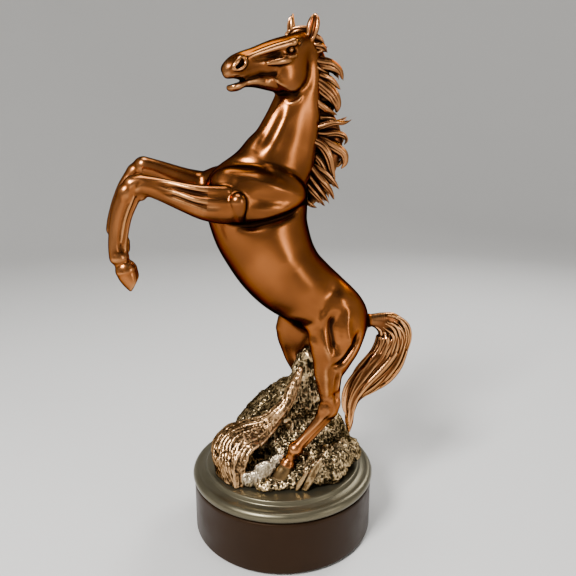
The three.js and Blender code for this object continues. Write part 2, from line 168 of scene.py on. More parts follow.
class Lump:
    """An ellipsoid: centre, radii along its own axes, and the direction of its first axis."""

    def __init__(self, centre, radii, along=(1, 0, 0), side=(0, 1, 0), at=IDENTITY):
        turn = np.array(at)[:3, :3]
        self.centre = moved_points(at, centre)
        first = unit(turn @ np.array(along, float))
        second = turn @ np.array(side, float)
        second = unit(second - (second @ first) * first)
        self.axes = np.array([first, second, np.cross(first, second)])
        self.radii = np.array(radii, float)
        reach = np.abs(self.axes.T) @ self.radii
        self.low, self.high = self.centre - reach, self.centre + reach

    def measure(self, clay, window, margin):
        x, y, z = clay.coordinates(window)
        px, py, pz = x - self.centre[0], y - self.centre[1], z - self.centre[2]
        k0 = 0
        k1 = 0
        for axis, radius in zip(self.axes, self.radii):
            q = px * axis[0] + py * axis[1] + pz * axis[2]
            k0 = k0 + (q / radius) ** 2
            k1 = k1 + (q / radius**2) ** 2
        k0 = np.sqrt(k0)
        return k0 * (k0 - 1) / (np.sqrt(k1) + 1e-6)


class Half:
    """Everything behind a plane, as far as reach from its point."""

    def __init__(self, point, outward, reach, at=IDENTITY):
        self.point = moved_points(at, point)
        self.outward = unit(np.array(at)[:3, :3] @ np.array(outward, float))
        self.low, self.high = self.point - reach, self.point + reach

    def measure(self, clay, window, margin):
        x, y, z = clay.coordinates(window)
        p, n = self.point, self.outward
        return (x - p[0]) * n[0] + (y - p[1]) * n[1] + (z - p[2]) * n[2]


def blurred(values, radius):
    """Three box blurs, which come close to a Gaussian."""
    for axis in range(3):
        for _ in range(2):
            n = int(radius)
            if n < 1:
                continue
            pad = [(0, 0)] * 3
            pad[axis] = (n + 1, n)
            total = np.cumsum(np.pad(values, pad, mode="edge"), axis=axis, dtype=np.float32)
            size = values.shape[axis]
            upper = np.take(total, range(2 * n + 1, 2 * n + 1 + size), axis=axis)
            lower = np.take(total, range(size), axis=axis)
            values = (upper - lower) / (2 * n + 1)
    return values


class Clay:
    """A block of signed distances, negative inside the form, in millimetres."""

    def __init__(self, low, high, step):
        self.step = step * COARSE
        self.low = np.array(low, float)
        counts = np.ceil((np.array(high) - self.low) / self.step).astype(int) + 1
        self.axes = [(self.low[i] + self.step * np.arange(counts[i])).astype(np.float32) for i in range(3)]
        self.field = np.full(counts, EMPTY, np.float32)

    # windows are tuples of slices
    def window(self, low, high, within=None):
        out = []
        for i in range(3):
            start = int(math.floor((low[i] - self.low[i]) / self.step))
            stop = int(math.ceil((high[i] - self.low[i]) / self.step)) + 1
            first, last = (within[i].start, within[i].stop) if within else (0, len(self.axes[i]))
            start, stop = max(start, first), min(stop, last)
            if start >= stop:
                return None
            out.append(slice(start, stop))
        return tuple(out)

    def shape(self, window):
        return [s.stop - s.start for s in window]

    def inside(self, sub, window):
        return tuple(slice(s.start - w.start, s.stop - w.start) for s, w in zip(sub, window))

    def coordinates(self, window):
        x, y, z = (self.axes[i][window[i]] for i in range(3))
        return x[:, None, None], y[None, :, None], z[None, None, :]

    def grown(self, shape, margin):
        return self.window(shape.low - margin, shape.high + margin)

    def add(self, shape, blend=0.0):
        self.merge(shape, blend, 1)

    def cut(self, shape, blend=0.0):
        self.merge(shape, blend, -1)

    def merge(self, shape, blend, sign):
        """Adds a shape (sign 1) or takes it away (sign -1), with a fillet about blend wide."""
        margin = blend + 3 * self.step
        window = self.grown(shape, margin)
        if window is None:
            return
        old, new = sign * self.field[window], shape.measure(self, window, margin)
        joined = np.minimum(old, new)
        if blend > 0:
            h = np.maximum(blend - np.abs(old - new), 0)
            joined = joined - h * h / (4 * blend)
        self.field[window] = sign * joined

    def blank(self):
        """An empty block on the same grid."""
        block = copy.copy(self)
        block.field = np.full_like(self.field, EMPTY)
        return block

    def keep(self, half):
        """Keeps what is behind a plane, near its point."""
        window = self.grown(half, 0)
        if window is not None:
            self.field[window] = np.maximum(self.field[window], half.measure(self, window, 0))

    def line(self, points, amount, width, at=IDENTITY, fade=0.25):
        """A groove (amount above 0) or ridge (below 0) of that depth along a curve in space."""
        points = smooth_curve(moved_points(at, points), 4)
        reach = 2.6 * width
        window = self.window(points.min(0) - reach, points.max(0) + reach)
        if window is None:
            return
        x, y, z = self.coordinates(window)
        best, along = self.nearest(points, (x, y, z), self.shape(window))
        self.field[window] += amount * np.exp(-best / width**2) * faded(along, fade)

    def drawn(self, points, amount, width, side, start=4.0, fade=0.25):
        """The same, along (x, z) points drawn on the horse's left side (side -1) or its right (1)."""
        points = smooth_curve(points, 4)
        reach = 2.6 * width
        low = [points[:, 0].min() - reach, -80 if side < 0 else start, points[:, 1].min() - reach]
        high = [points[:, 0].max() + reach, -start if side < 0 else 80, points[:, 1].max() + reach]
        window = self.window(low, high)
        if window is None:
            return
        x, y, z = self.coordinates(window)
        flat = np.column_stack([points[:, 0], np.zeros(len(points)), points[:, 1]])
        shape = self.shape(window)
        best, along = self.nearest(flat, (x, 0, z), [shape[0], 1, shape[2]])
        edge = np.clip((np.abs(y) - start) / 4, 0, 1)
        self.field[window] += amount * np.exp(-best / width**2) * faded(along, fade) * edge

    @staticmethod
    def nearest(points, coordinates, shape):
        """Squared distance to a line through points, and how far along it that is, from 0 to 1."""
        x, y, z = coordinates
        best = np.full(shape, 1e9, np.float32)
        along = np.zeros(shape, np.float32)
        lengths = np.linalg.norm(np.diff(points, axis=0), axis=1)
        total, so_far = max(lengths.sum(), 1e-9), 0.0
        for a, b, length in zip(points[:-1], points[1:], lengths):
            d = b - a
            px, py, pz = x - a[0], y - a[1], z - a[2]
            t = np.clip((px * d[0] + py * d[1] + pz * d[2]) / max(length**2, 1e-9), 0, 1)
            q = (px - t * d[0]) ** 2 + (py - t * d[1]) ** 2 + (pz - t * d[2]) ** 2
            closer = q < best
            best = np.where(closer, q, best)
            along = np.where(closer, (so_far + t * length) / total, along)
            so_far += length
        return best, along

    def sample(self, values, points):
        """Values between grid points, by linear steps."""
        g = (points - self.low) / self.step
        limit = np.array(values.shape) - 2
        base = np.clip(np.floor(g).astype(int), 0, limit)
        f = np.clip(g - base, 0, 1)
        out = 0
        for corner in range(8):
            o = np.array([corner & 1, corner >> 1 & 1, corner >> 2 & 1])
            weight = np.prod(np.where(o, f, 1 - f), axis=1)
            i = base + o
            out = out + weight * values[i[:, 0], i[:, 1], i[:, 2]]
        return out

    def surface(self, soften=True):
        """Vertices and quads of the form's surface, and how hollow it is around each vertex."""
        band = 3 * self.step
        field = np.clip(self.field, -band, band)
        if soften:
            field = blurred(field, 1)
        grid = openvdb.FloatGrid(band)
        grid.copyFromArray(np.ascontiguousarray(field))
        points, quads = grid.convertToQuads(0.0)
        points = points.astype(float) * self.step + self.low
        solid = np.clip(0.5 - self.field / (2 * self.step), 0, 1)
        fine = self.sample(self.spread_over(solid, FINE_SIZE), points)
        wide = self.sample(self.spread_over(solid, WIDE_SIZE), points)
        return points, quads, {"fine": fine, "wide": wide}

    def spread_over(self, values, size):
        """Values averaged over a neighbourhood of a size in millimetres, whatever the grid."""
        reach = max((size / self.step - 1) / 2, 1)
        less, part = int(reach), reach % 1
        return (1 - part) * blurred(values, less) + part * blurred(values, less + 1)


def faded(along, fade):
    if fade <= 0:
        return 1.0
    return np.clip(along / fade, 0, 1) * np.clip((1 - along) / fade, 0, 1)


# ---------------------------------------------------------------- noise
def hashed(ix, iy, iz, seed):
    n = (ix * 374761393 + iy * 668265263 + iz * 1274126177 + seed * 97471177) & 0xFFFFFFFF
    n = ((n ^ (n >> 13)) * 1103515245) & 0xFFFFFFFF
    return ((n ^ (n >> 16)) & 0xFFFF) / 32767.5 - 1


def noise(points, size, seed=0):
    """Smooth noise between -1 and 1, with lumps about size wide."""
    g = np.asarray(points, float) / size
    base = np.floor(g).astype(np.int64)
    f = g - base
    f = f * f * (3 - 2 * f)
    out = 0
    for corner in range(8):
        o = np.array([corner & 1, corner >> 1 & 1, corner >> 2 & 1])
        weight = np.prod(np.where(o, f, 1 - f), axis=1)
        i = base + o
        out = out + weight * hashed(i[:, 0], i[:, 1], i[:, 2], seed)
    return out


def vertex_normals(points, quads):
    a, b, c, d = (points[quads[:, i]] for i in range(4))
    face = np.cross(c - a, d - b)
    out = np.zeros_like(points)
    for i in range(4):
        np.add.at(out, quads[:, i], face)
    return unit(out)


# ---------------------------------------------------------------- meshes and pieces
def mesh_from(name, points, quads, marks):
    """A mesh from numbers; marks are per-vertex values that the materials read."""
    mesh = bpy.data.meshes.new(name)
    mesh.vertices.add(len(points))
    mesh.vertices.foreach_set("co", np.asarray(points, np.float32).ravel())
    sides = quads.shape[1]
    mesh.loops.add(quads.size)
    mesh.loops.foreach_set("vertex_index", np.asarray(quads, np.int32).ravel())
    mesh.polygons.add(len(quads))
    mesh.polygons.foreach_set("loop_start", np.arange(0, quads.size, sides, dtype=np.int32))
    mesh.update(calc_edges=True)
    for key, values in marks.items():
        layer = mesh.attributes.new(key, "FLOAT", "POINT")
        layer.data.foreach_set("value", np.asarray(values, np.float32))
    mesh.polygons.foreach_set("use_smooth", np.ones(len(quads), bool))
    return mesh


def closed_loops(edges):
    """The closed rings among some edges, each as a list of edges."""
    left = set(edges)
    rings = []
    while left:
        ring, frontier = [], [left.pop()]
        ends = {}
        while frontier:
            edge = frontier.pop()
            ring.append(edge)
            for vert in edge.verts:
                ends[vert] = ends.get(vert, 0) + 1
                for other in vert.link_edges:
                    if other in left:
                        left.discard(other)
                        frontier.append(other)
        if all(count == 2 for count in ends.values()):
            rings.append(ring)
    return rings


def seam(bm, point, normal, reach):
    """Cuts a mesh by a plane and gives the closed ring nearest its point, or with reach < 0 every one."""
    centre = Vector(point)
    faces = [f for f in bm.faces if (f.verts[0].co - centre).length < abs(reach)]
    edges = list({e for f in faces for e in f.edges})
    verts = list({v for f in faces for v in f.verts})
    result = bmesh.ops.bisect_plane(
        bm, geom=verts + edges + faces, dist=1e-4, plane_co=centre, plane_no=Vector(normal)
    )
    rings = closed_loops([e for e in result["geom_cut"] if isinstance(e, bmesh.types.BMEdge)])
    if not rings:
        raise ValueError(f"no closed ring at {point}")

    def away(ring):
        middle = sum((e.verts[0].co for e in ring), Vector()) / len(ring)
        return (middle - centre).length

    return min(rings, key=away) if reach > 0 else sum(rings, [])


def split_and_cap(bm, seams):
    """Opens a mesh along its seams and closes each opening with a flat cap."""
    bmesh.ops.split_edges(bm, edges=seams)
    rims = [e for e in bm.edges if e.is_boundary]
    caps = bmesh.ops.holes_fill(bm, edges=rims, sides=0)["faces"]
    for cap in caps:
        cap.smooth = False
        for edge in cap.edges:
            edge.smooth = False
    bmesh.ops.triangulate(bm, faces=caps)


def loose_parts(name, mesh):
    """The separate bodies of a mesh, each as an object, with its vertices: {object: places}."""
    whole = linked(name, mesh)
    bpy.ops.object.select_all(action="DESELECT")
    whole.select_set(True)
    bpy.context.view_layer.objects.active = whole
    bpy.ops.mesh.separate(type="LOOSE")
    places = {}
    for obj in list(bpy.context.selected_objects):
        flat = np.empty(len(obj.data.vertices) * 3, np.float32)
        obj.data.vertices.foreach_get("co", flat)
        places[obj] = flat.reshape(-1, 3)
    return places


def divided(name, surface, cuts, seeds):
    """Cuts a surface by planes and gives back the closed part nearest each seed: {part name: object}.

    A cut is (point, normal, reach), as seam takes it.
    """
    bm = bmesh.new()
    bm.from_mesh(mesh_from(name, *surface))
    seams = [edge for cut in cuts for edge in seam(bm, *cut)]
    split_and_cap(bm, seams)
    mesh = bpy.data.meshes.new(name)
    bm.to_mesh(mesh)
    bm.free()
    places = loose_parts(name, mesh)
    out = {}
    for part, seed in seeds.items():
        out[part] = min(places, key=lambda obj: np.linalg.norm(places[obj] - np.array(seed), axis=1).min())
    if len(set(out.values())) != len(out):
        raise ValueError(f"{name}: two parts share one piece")
    for obj in places:
        if obj not in out.values():
            bpy.data.objects.remove(obj)
    return out


def linked(name, data):
    """A new object with some data, in the scene."""
    obj = bpy.data.objects.new(name, data)
    bpy.context.scene.collection.objects.link(obj)
    return obj


def finish_piece(obj, name, node, slot, material, at=HORSE):
    """Names a piece, puts it in the row's frame in metres, and lets it stand for its CAD node."""
    obj.data.transform(Matrix.Scale(MM, 4) @ at)
    obj.name = name
    obj.data.name = name
    obj.data.materials.clear()
    obj.data.materials.append(material)
    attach(obj, "root")
    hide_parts(node)
    return obj


def object_from(name, surface):
    return linked(name, mesh_from(name, *surface))


# ---------------------------------------------------------------- the horse's body
TORSO = [
    (-19, 0, 251, 9, 20),
    (-18, 0, 244, 16.5, 29),
    (-16, 0, 232, 21, 31.4),
    (-14.3, 0, 218.7, 23.4, 29.8),
    (-10.5, 0, 207.4, 25, 28),
    (-5, 0, 195.7, 25.8, 26.2),
    (2.9, 0, 184.9, 25.4, 24.5),
    (13.6, 0, 175.6, 23.8, 22.8),
    (25, 0, 167.2, 22.4, 21),
    (35.5, 0, 159.5, 20.5, 18.9),
    (43.7, 0, 150.5, 15.5, 15.2),
    (48, 0, 147, 8, 9),
]
NECK = [
    (-12, 0, 240, 16, 25),
    (-4.0, 0, 253, 15, 23.4),
    (1.2, 0, 262, 13.4, 20.9),
    (5.2, 0, 273, 12, 18.2),
    (8.2, 0, 283, 10.9, 16),
    (10.6, 0, 292.4, 10, 13.9),
    (12.6, 0, 303.5, 9.2, 11.4),
    (13.6, 0, 313, 8.4, 9.4),
    (14, 0, 320, 5.6, 6),
]


def body(clay):
    """Trunk, neck and the muscles that lie on them."""
    clay.add(Sweep(TORSO, steps=6))
    clay.add(Sweep(NECK, steps=6), blend=5)
    for side in (-1, 1):
        shoulder(clay, side)
        # hip, thigh and buttock
        clay.add(Lump((34, side * 10, 161), (18, 12.5, 15.5), along=(0.5, 0, -0.86)), blend=6)
        clay.add(Lump((31, side * 16, 170), (5.5, 4.5, 4)), blend=6)
        # the neck's long muscle, the groove in front of it, and the windpipe
        clay.drawn([(2, 287), (-2, 279), (-8, 267), (-15, 257)], -1.2, 4.2, side)
        clay.drawn([(-1, 290), (-5.5, 281), (-11.5, 270.5), (-19, 260)], 1.5, 2.6, side)
        clay.drawn([(13, 296), (13.5, 282), (11, 266), (6, 252)], 0.9, 6, side)
        # a soft hollow before the hip, the last ribs and the fold of the flank
        clay.drawn([(29, 186), (22, 174), (13, 163)], 1.7, 7, side, start=8)
        clay.drawn([(-16, 222), (-9, 206), (0, 192)], -0.8, 7, side, start=8)
        clay.drawn([(-4, 160), (8, 161), (17, 156)], -1.1, 4, side, start=8)
        # the fold that rings the throat
        clay.line(
            [
                (-5.5, side * 6, 291.5),
                (-2.9, side * 10, 289.7),
                (2, side * 10.8, 288.6),
                (6.8, side * 10.6, 290.2),
                (10, side * 10, 294),
            ],
            -1.1,
            1.1,
        )
        clay.line(
            [
                (-4.5, side * 7, 294.5),
                (0, side * 10, 292.2),
                (5, side * 10.5, 292.6),
                (8.6, side * 10, 296),
            ],
            0.8,
            1.3,
        )


def shoulder(clay, side):
    """Shoulder blade, upper arm and triceps, and the creases that bound them."""
    clay.add(Lump((-15, side * 12.5, 238.5), (26.5, 13.5, 16), along=(1, 0, -0.13)), blend=2.6)
    clay.add(Lump((-35, side * 14.5, 243), (12.5, 10, 10.5), along=(1, 0, 0.25)), blend=3.5)
    clay.add(Lump((-17, side * 16, 229.5), (19.5, 11.5, 8.6), along=(1, 0, 0.12)), blend=2.4)
    clay.add(Lump((-20, side * 19, 241), (15, 8, 8), along=(1, 0, -0.25)), blend=5)
    clay.drawn([(-42, 252), (-33, 255.6), (-20, 253.6), (-6, 247), (8, 238.5)], 0.9, 2.2, side, start=2)
    clay.drawn([(-38, 223), (-25, 219.6), (-11, 222.5), (3, 227), (11, 234)], 2.2, 2.2, side, start=8)
    clay.drawn([(-27, 247), (-14, 243), (0, 238.5), (10, 236)], -0.7, 2.2, side, start=8)
    clay.drawn([(-27, 238), (-14, 234.5), (0, 233)], 0.9, 3.0, side, start=8)
    clay.drawn([(-30, 231), (-18, 227), (-6, 228.5)], 0.7, 2.0, side, start=8)
    clay.drawn([(-52, 246), (-44, 243.5), (-37, 243.5), (-33, 247)], 1.0, 1.5, side, start=8)


def lead(side, z):
    """How far a hind leg stands ahead of the left one at a height."""
    return 0.0 if side < 0 else float(np.interp(z, (60, 113, 125, 137), (-5, -6.5, -9.5, -13.2)))


# Lines drawn on a hind leg as (x, z) points, with their depth (above 0) or height (below 0) and width.
HIND_LINES = [
    ([(22, 134), (21, 124), (22, 114), (23.6, 106)], -0.7, 1.6),
    ([(25.4, 132), (25, 122), (25.6, 112), (26.4, 106)], 1.1, 2.0),
    ([(31, 128), (31.6, 120), (31, 111)], -0.7, 1.6),
    ([(27, 99), (21, 91), (12, 82), (6, 76)], 0.9, 0.9),
    # thigh: front edge, the hollow behind it, the muscle along the back and the fold above the gaskin
    ([(27, 172), (21, 163), (18.4, 155), (20, 146), (22.6, 137), (24.6, 128)], -1.2, 2.4),
    ([(29, 166), (26, 156), (26.6, 147), (28, 137)], 2.9, 2.8),
    ([(38, 168), (35, 158), (36, 148), (39, 141)], -2.0, 3.2),
    ([(24, 130), (32, 132.5), (40, 142), (45, 152)], 3.2, 2.0),
    ([(14, 157), (11.6, 149), (13, 141)], -1.0, 3),
    ([(21.4, 126), (24, 119), (24.6, 109)], -0.6, 2),
    ([(29.4, 126), (29, 116), (28.4, 107)], 1.1, 1.7),
    ([(21.6, 106), (25, 102.6), (27, 97)], 0.5, 1.5),
]


def hind_spot(side):
    """Gives a function that moves a place on the left hind leg, given with y above 0, to either leg."""
    def spot(x, y, z, *rest):
        return (x + lead(side, z), side * y, z, *rest)

    return spot


def thigh(clay, spot):
    clay.add(
        Sweep(
            [
                spot(41, 8, 162, 9, 14),
                spot(34.5, 13, 152, 11.5, 18.2),
                spot(30.5, 16, 141.5, 10.8, 17.2),
                spot(28, 17.8, 132, 8.8, 13.2),
                spot(25.2, 18.6, 122.5, 7, 9.2),
                spot(26, 18.8, 113, 5.4, 6.6),
            ],
            steps=6,
        ),
        blend=6,
    )


def gaskin(clay, spot):
    """Gaskin bone, Achilles tendon and hock."""
    clay.add(
        Sweep([
            spot(23.4, 18.5, 125, 5.4, 6.2),
            spot(23.8, 18.8, 113, 4.8, 5.2),
            spot(25.4, 18.6, 104, 4.8, 4.8),
        ]),
        blend=1.6,
    )
    clay.add(
        Sweep([spot(34, 17, 127, 3, 3.2), spot(32, 18, 116, 2.3, 2.5), spot(31.2, 18.4, 104, 2.6, 2.6)]),
        blend=1.8,
    )
    clay.add(Lump(spot(30.4, 18.6, 101.4), (3.5, 3.2, 3.8), along=(0.2, 0, 1)), blend=2.5)
    clay.add(Lump(spot(26, 18.6, 98), (6.4, 5.2, 7), along=(0.4, 0, 1)), blend=2.5)


def hind_cannon(clay, spot):
    """Cannon bone with the tendon behind it, fetlock and pastern."""
    clay.add(
        Sweep(
            [
                spot(25, 18.6, 99, 4.8, 4.9),
                spot(19.3, 18.3, 90, 3.7, 3.6),
                spot(12.2, 18, 81.8, 3.2, 2.9),
                spot(5.4, 17.7, 74.4, 3.6, 3.5),
            ]
        ),
        blend=2,
    )
    clay.add(
        Sweep([
            spot(27.6, 18.6, 93.6, 2.8, 2.7),
            spot(20.6, 18.3, 85.4, 2.2, 2),
            spot(9.6, 17.8, 74, 2.2, 2),
        ]),
        blend=1.2,
    )
    clay.add(Lump(spot(3.6, 17.6, 72.2), (4.9, 4.9, 4.8)), blend=1.2)
    clay.add(
        Sweep([spot(3.2, 17.6, 71, 4, 4), spot(0.4, 17.3, 65.5, 3.4, 3.4), spot(-1.2, 17.2, 62, 4.2, 4.2)]),
        blend=1,
    )
    clay.add(Lump(spot(7, 17.6, 70), (2.6, 2.6, 2.2)), blend=1.5)


def hind_leg(clay, side):
    """A hind leg from thigh to pastern. The right one stands a little ahead of the left."""
    spot = hind_spot(side)
    thigh(clay, spot)
    gaskin(clay, spot)
    hind_cannon(clay, spot)
    for points, amount, width in HIND_LINES:
        clay.drawn([(x + lead(side, z), z) for x, z in points], amount, width, side, start=9)


def hoof(clay, rows, sole_point, sole_normal, at=IDENTITY):
    """A hoof from its coronet down, with a raised coronet band and a flat sole."""
    shell = clay.blank()
    shell.add(Sweep(rows, at=at))
    top = np.array(rows[0], float)
    down = unit(np.array(rows[1][:3]) - top[:3])
    ring = [
        top[:3] + down * 0.6 + top[3] * (
            math.cos(a) * np.array([0, 1, 0]) + math.sin(a) * np.cross(down, [0, 1, 0])
        )
        for a in np.linspace(0, 2 * math.pi, 13)
    ]
    shell.line(ring, -0.5, 0.8, at=at, fade=0)
    shell.keep(Half(sole_point, sole_normal, 3 * top[3], at=at))
    np.minimum(clay.field, shell.field, out=clay.field)


def forearm(clay, arm):
    """Forearm, elbow and the long muscles over them, given for the left one."""
    clay.add(
        Sweep(
            [
                (-26, -17, 236, 7.5, 11.5),
                (-36, -21.5, 233, 8.8, 11.6),
                (-48, -22.5, 233.2, 8.6, 9.8),
                (-58, -21, 236, 7.4, 8.4),
                (-68, -19, 239.4, 6.1, 6.9),
                (-77, -17.6, 242.6, 5.2, 5.7),
                (-84, -17, 244, 5.4, 5.6),
            ],
            steps=6,
            at=arm,
        ),
        blend=5.5,
    )
    # the point of the elbow
    clay.add(
        Sweep(
            [(-33.2, -30, 234.6, 5.1, 5.1), (-32.4, -28.8, 229.4, 3.9, 3.9), (-31.4, -26, 224.6, 2.2, 2.2)],
            at=arm,
        ),
        blend=1.5,
    )
    # the long muscles over the forearm
    clay.add(
        Sweep(
            [
                (-39, -26, 240, 4, 3.4),
                (-55, -25.4, 241.4, 3.8, 2.8),
                (-72, -20, 245, 2.8, 2.2),
                (-84, -18, 247, 2.4, 1.8),
            ],
            at=arm,
        ),
        blend=0.9,
    )
    clay.add(
        Sweep(
            [(-40, -28, 234.5, 3.6, 2.4), (-54, -27.4, 235.6, 3.4, 2.2), (-66, -23, 239.6, 2.6, 1.8)],
            at=arm,
        ),
        blend=0.8,
    )
    clay.add(
        Sweep(
            [
                (-38, -26, 228.6, 4.4, 4.2),
                (-52, -25.6, 229.6, 4, 3.4),
                (-66, -21, 234.8, 3, 2.6),
                (-80, -18, 239.6, 2.2, 2),
            ],
            at=arm,
        ),
        blend=0.9,
    )
    clay.line(
        [(-41, -31, 237.6), (-50, -30, 238.6), (-62, -26, 241.4), (-76, -22, 244.6)],
        1.5,
        1.0,
        at=arm,
    )
    clay.line(
        [(-41, -31, 231.6), (-50, -30, 232.2), (-62, -26, 236.4), (-76, -21, 241.4)],
        1.6,
        1.1,
        at=arm,
    )


def knee(clay, shin):
    clay.add(Lump((-88, -16.6, 243.6), (5.6, 5.4, 5.6), along=(0.3, 0, 1), at=shin), blend=2)
    clay.add(Lump((-91.8, -16.5, 239.6), (4, 4.6, 4.6), at=shin), blend=1.6)
    clay.add(Lump((-84.6, -16.6, 238.2), (3, 2.6, 3.4), along=(0.5, 0, 1), at=shin), blend=1.8)
    clay.line([(-83, -21.4, 246.4), (-87.4, -21.6, 243), (-90.6, -21, 237.6)], 0.6, 1.3, at=shin)


def fore_cannon(clay, shin):
    """Cannon bone in front, tendon behind, fetlock and pastern."""
    clay.add(
        Sweep(
            [
                (-92, -16.4, 240, 4.6, 4.6),
                (-96.6, -16, 230, 4, 3.9),
                (-99.2, -15.6, 219, 3.6, 3.5),
                (-100, -15.2, 209, 3.9, 3.6),
                (-99, -15, 204.6, 4.8, 4.4),
            ],
            at=shin,
        ),
        blend=2,
    )
    clay.add(
        Sweep(
            [
                (-87.4, -16.4, 236.5, 2.5, 2.6),
                (-92, -16, 226, 2.2, 2.2),
                (-94.9, -15.6, 213, 2.1, 2.1),
                (-95.4, -15, 205, 2.8, 2.5),
            ],
            at=shin,
        ),
        blend=0.6,
    )
    clay.add(
        Sweep(
            [(-88.5, -19.4, 238, 1.2, 1.2), (-93.5, -18.4, 226, 1.1, 1.1), (-96.6, -17.6, 213, 0.9, 0.9)],
            at=shin,
        ),
        blend=0.6,
    )
    clay.add(Lump((-97.8, -15, 204), (5.2, 4.9, 4.6), at=shin), blend=1.2)
    clay.add(
        Sweep(
            [(-97.8, -15, 203, 4.1, 4.2), (-96.2, -15, 199.6, 4.0, 4.4), (-95.2, -15, 197, 4.6, 5.2)],
            at=shin,
        ),
        blend=0.8,
    )
    clay.line([(-102, -17, 201), (-98, -19.6, 200.4), (-93.6, -19, 201.6)], 0.5, 0.8, at=shin)


def fore_hoof(clay, shin):
    rows = [
        (-94.8, -15, 197.4, 5.6, 6.0),
        (-93.8, -15, 194, 5.7, 5.8),
        (-92.6, -15, 190, 5.4, 4.5),
        (-92, -15, 186.6, 4.4, 2.6),
    ]
    hoof(clay, rows, (-90.4, -15, 188.6), (0.86, 0, -0.5), at=shin)


def foreleg(clay, arm, shin):
    """A raised foreleg, in the left one's place: arm moves the forearm, shin what is below the knee."""
    forearm(clay, arm)
    knee(clay, shin)
    fore_cannon(clay, shin)
    fore_hoof(clay, shin)


def swung(start, end, degrees):
    """Mirrors a left limb to the right, turns it about the Y axis at start and brings start to end."""
    mirror = Matrix.Scale(-1, 4, (0, 1, 0))
    turn = Matrix.Rotation(math.radians(degrees), 4, "Y")
    return Matrix.Translation(end) @ turn @ mirror @ Matrix.Translation([-c for c in start])


LEFT_ARM = IDENTITY
LEFT_SHIN = IDENTITY
RIGHT_ARM = swung((-33, -22, 234.5), (-31, 18.5, 239.4), 5.0)
RIGHT_SHIN = swung((-88, -16.6, 243), (-82, 16, 252.0), 11.8)


# ---------------------------------------------------------------- the head, in its own frame
SKULL = [
    (3, 0, -9.8, 6.4, 5.8),
    (-3, 0, -7.6, 8.4, 9),
    (-11, 0, -7.2, 9.6, 10),
    (-19, 0, -6.6, 9.9, 10.4),
    (-26, 0, -5.4, 9.4, 10.1),
    (-33, 0, -4.1, 8, 9.3),
    (-42, 0, -2.3, 6.2, 7.8),
    (-50, 0, -1.2, 5.8, 7.4),
    (-55, 0, -0.6, 6.0, 6.8),
    (-58.4, 0, -0.4, 5.5, 5.7),
    (-60.4, 0, -0.8, 4.6, 4.1),
]
JAWBONE = [
    (-24, 0, -17.4, 5.6, 6.6),
    (-31, 0, -17, 5.6, 6.0),
    (-38, 0, -14.4, 5.4, 4.9),
    (-45, 0, -11.6, 5, 3.7),
    (-51, 0, -9.9, 4.4, 2.7),
    (-55.4, 0, -9.2, 4.2, 2.2),
    (-59.6, 0, -9.0, 4.4, 2.4),
    (-62.8, 0, -8.4, 4.0, 2.2),
]
LEFT_EAR = [
    (-4.8, -6.4, -5, 1.8, 2.0),
    (-3.4, -7.2, -1.8, 2.9, 2.4),
    (-1.2, -7.8, 1.6, 3.8, 2.6),
    (1.4, -7.9, 4.8, 3.4, 2.2),
    (3.3, -7.5, 6.7, 2.0, 1.4),
    (4.5, -7.1, 8.0, 0.5, 0.4),
]
RIGHT_EAR = [
    (-4.6, 6.4, -3, 1.8, 2.0),
    (-4.2, 7.1, 1, 2.8, 2.5),
    (-3.1, 7.4, 5, 3.1, 2.4),
    (-1.4, 7.4, 8.6, 2.3, 1.8),
    (0.6, 7.1, 10.6, 1.0, 0.8),
    (1.2, 7.0, 11.6, 0.4, 0.4),
]


def head(clay):
    clay.add(Sweep(SKULL, steps=6, at=HEAD), blend=4)
    clay.add(Sweep(JAWBONE, at=HEAD), blend=1.4)
    for side in (-1, 1):
        for feature in (cheek, nose_bone, eye, nostril, lips, throat):
            feature(FaceSide(clay, side))
    ear(clay, LEFT_EAR, (-0.75, -0.66))
    ear(clay, RIGHT_EAR, (-0.8, 0.2))
    open_mouth(clay)


def open_mouth(clay):
    """The gap between the jaws, the roof, the tongue and the upper teeth."""
    mouth = [
        (-54.6, 0, -7.7, 8, 0.25),
        (-58, 0, -6.7, 9, 0.8),
        (-61.5, 0, -5.5, 9, 1.4),
        (-66, 0, -4.0, 9, 1.9),
        (-71, 0, -2.4, 9, 2.6),
    ]
    clay.cut(Sweep(mouth, at=HEAD), blend=0.35)
    clay.cut(Lump((-59, 0, -5.8), (5.5, 3.4, 2.2), at=HEAD), blend=0.6)
    clay.add(
        Sweep([(-54, 0, -9.4, 2, 0.8), (-59, 0, -8.2, 2.3, 0.8), (-63, 0, -7.5, 2.1, 0.6)], at=HEAD),
        blend=0.3,
    )
    for k in range(-2, 3):
        clay.add(Lump((-61.8 + 0.3 * k * k, 1.25 * k, -3.2), (0.7, 0.66, 1.2), at=HEAD), blend=0.2)


class FaceSide:
    """One side of the head: places are given for its right side, where y is above 0."""

    def __init__(self, clay, side):
        self.clay = clay
        self.side = side

    def mirrored(self, rows):
        return [(x, self.side * y, *rest) for x, y, *rest in rows]

    def lump(self, centre, radii, blend, along=(1, 0, 0)):
        self.clay.add(Lump(*self.mirrored([centre]), radii, along=along, at=HEAD), blend)

    def socket(self, centre, radii, blend, along=(1, 0, 0)):
        self.clay.cut(Lump(*self.mirrored([centre]), radii, along=along, at=HEAD), blend)

    def rod(self, rows, blend):
        """A round rod from rows of (x, y, z, radius)."""
        self.clay.add(Sweep([(*row, row[3]) for row in self.mirrored(rows)], at=HEAD), blend)

    def hollow(self, stations, blend):
        self.clay.cut(Sweep(self.mirrored(stations), at=HEAD), blend)

    def stroke(self, points, amount, width, fade=0.3):
        self.clay.line(self.mirrored(points), amount, width, at=HEAD, fade=fade)


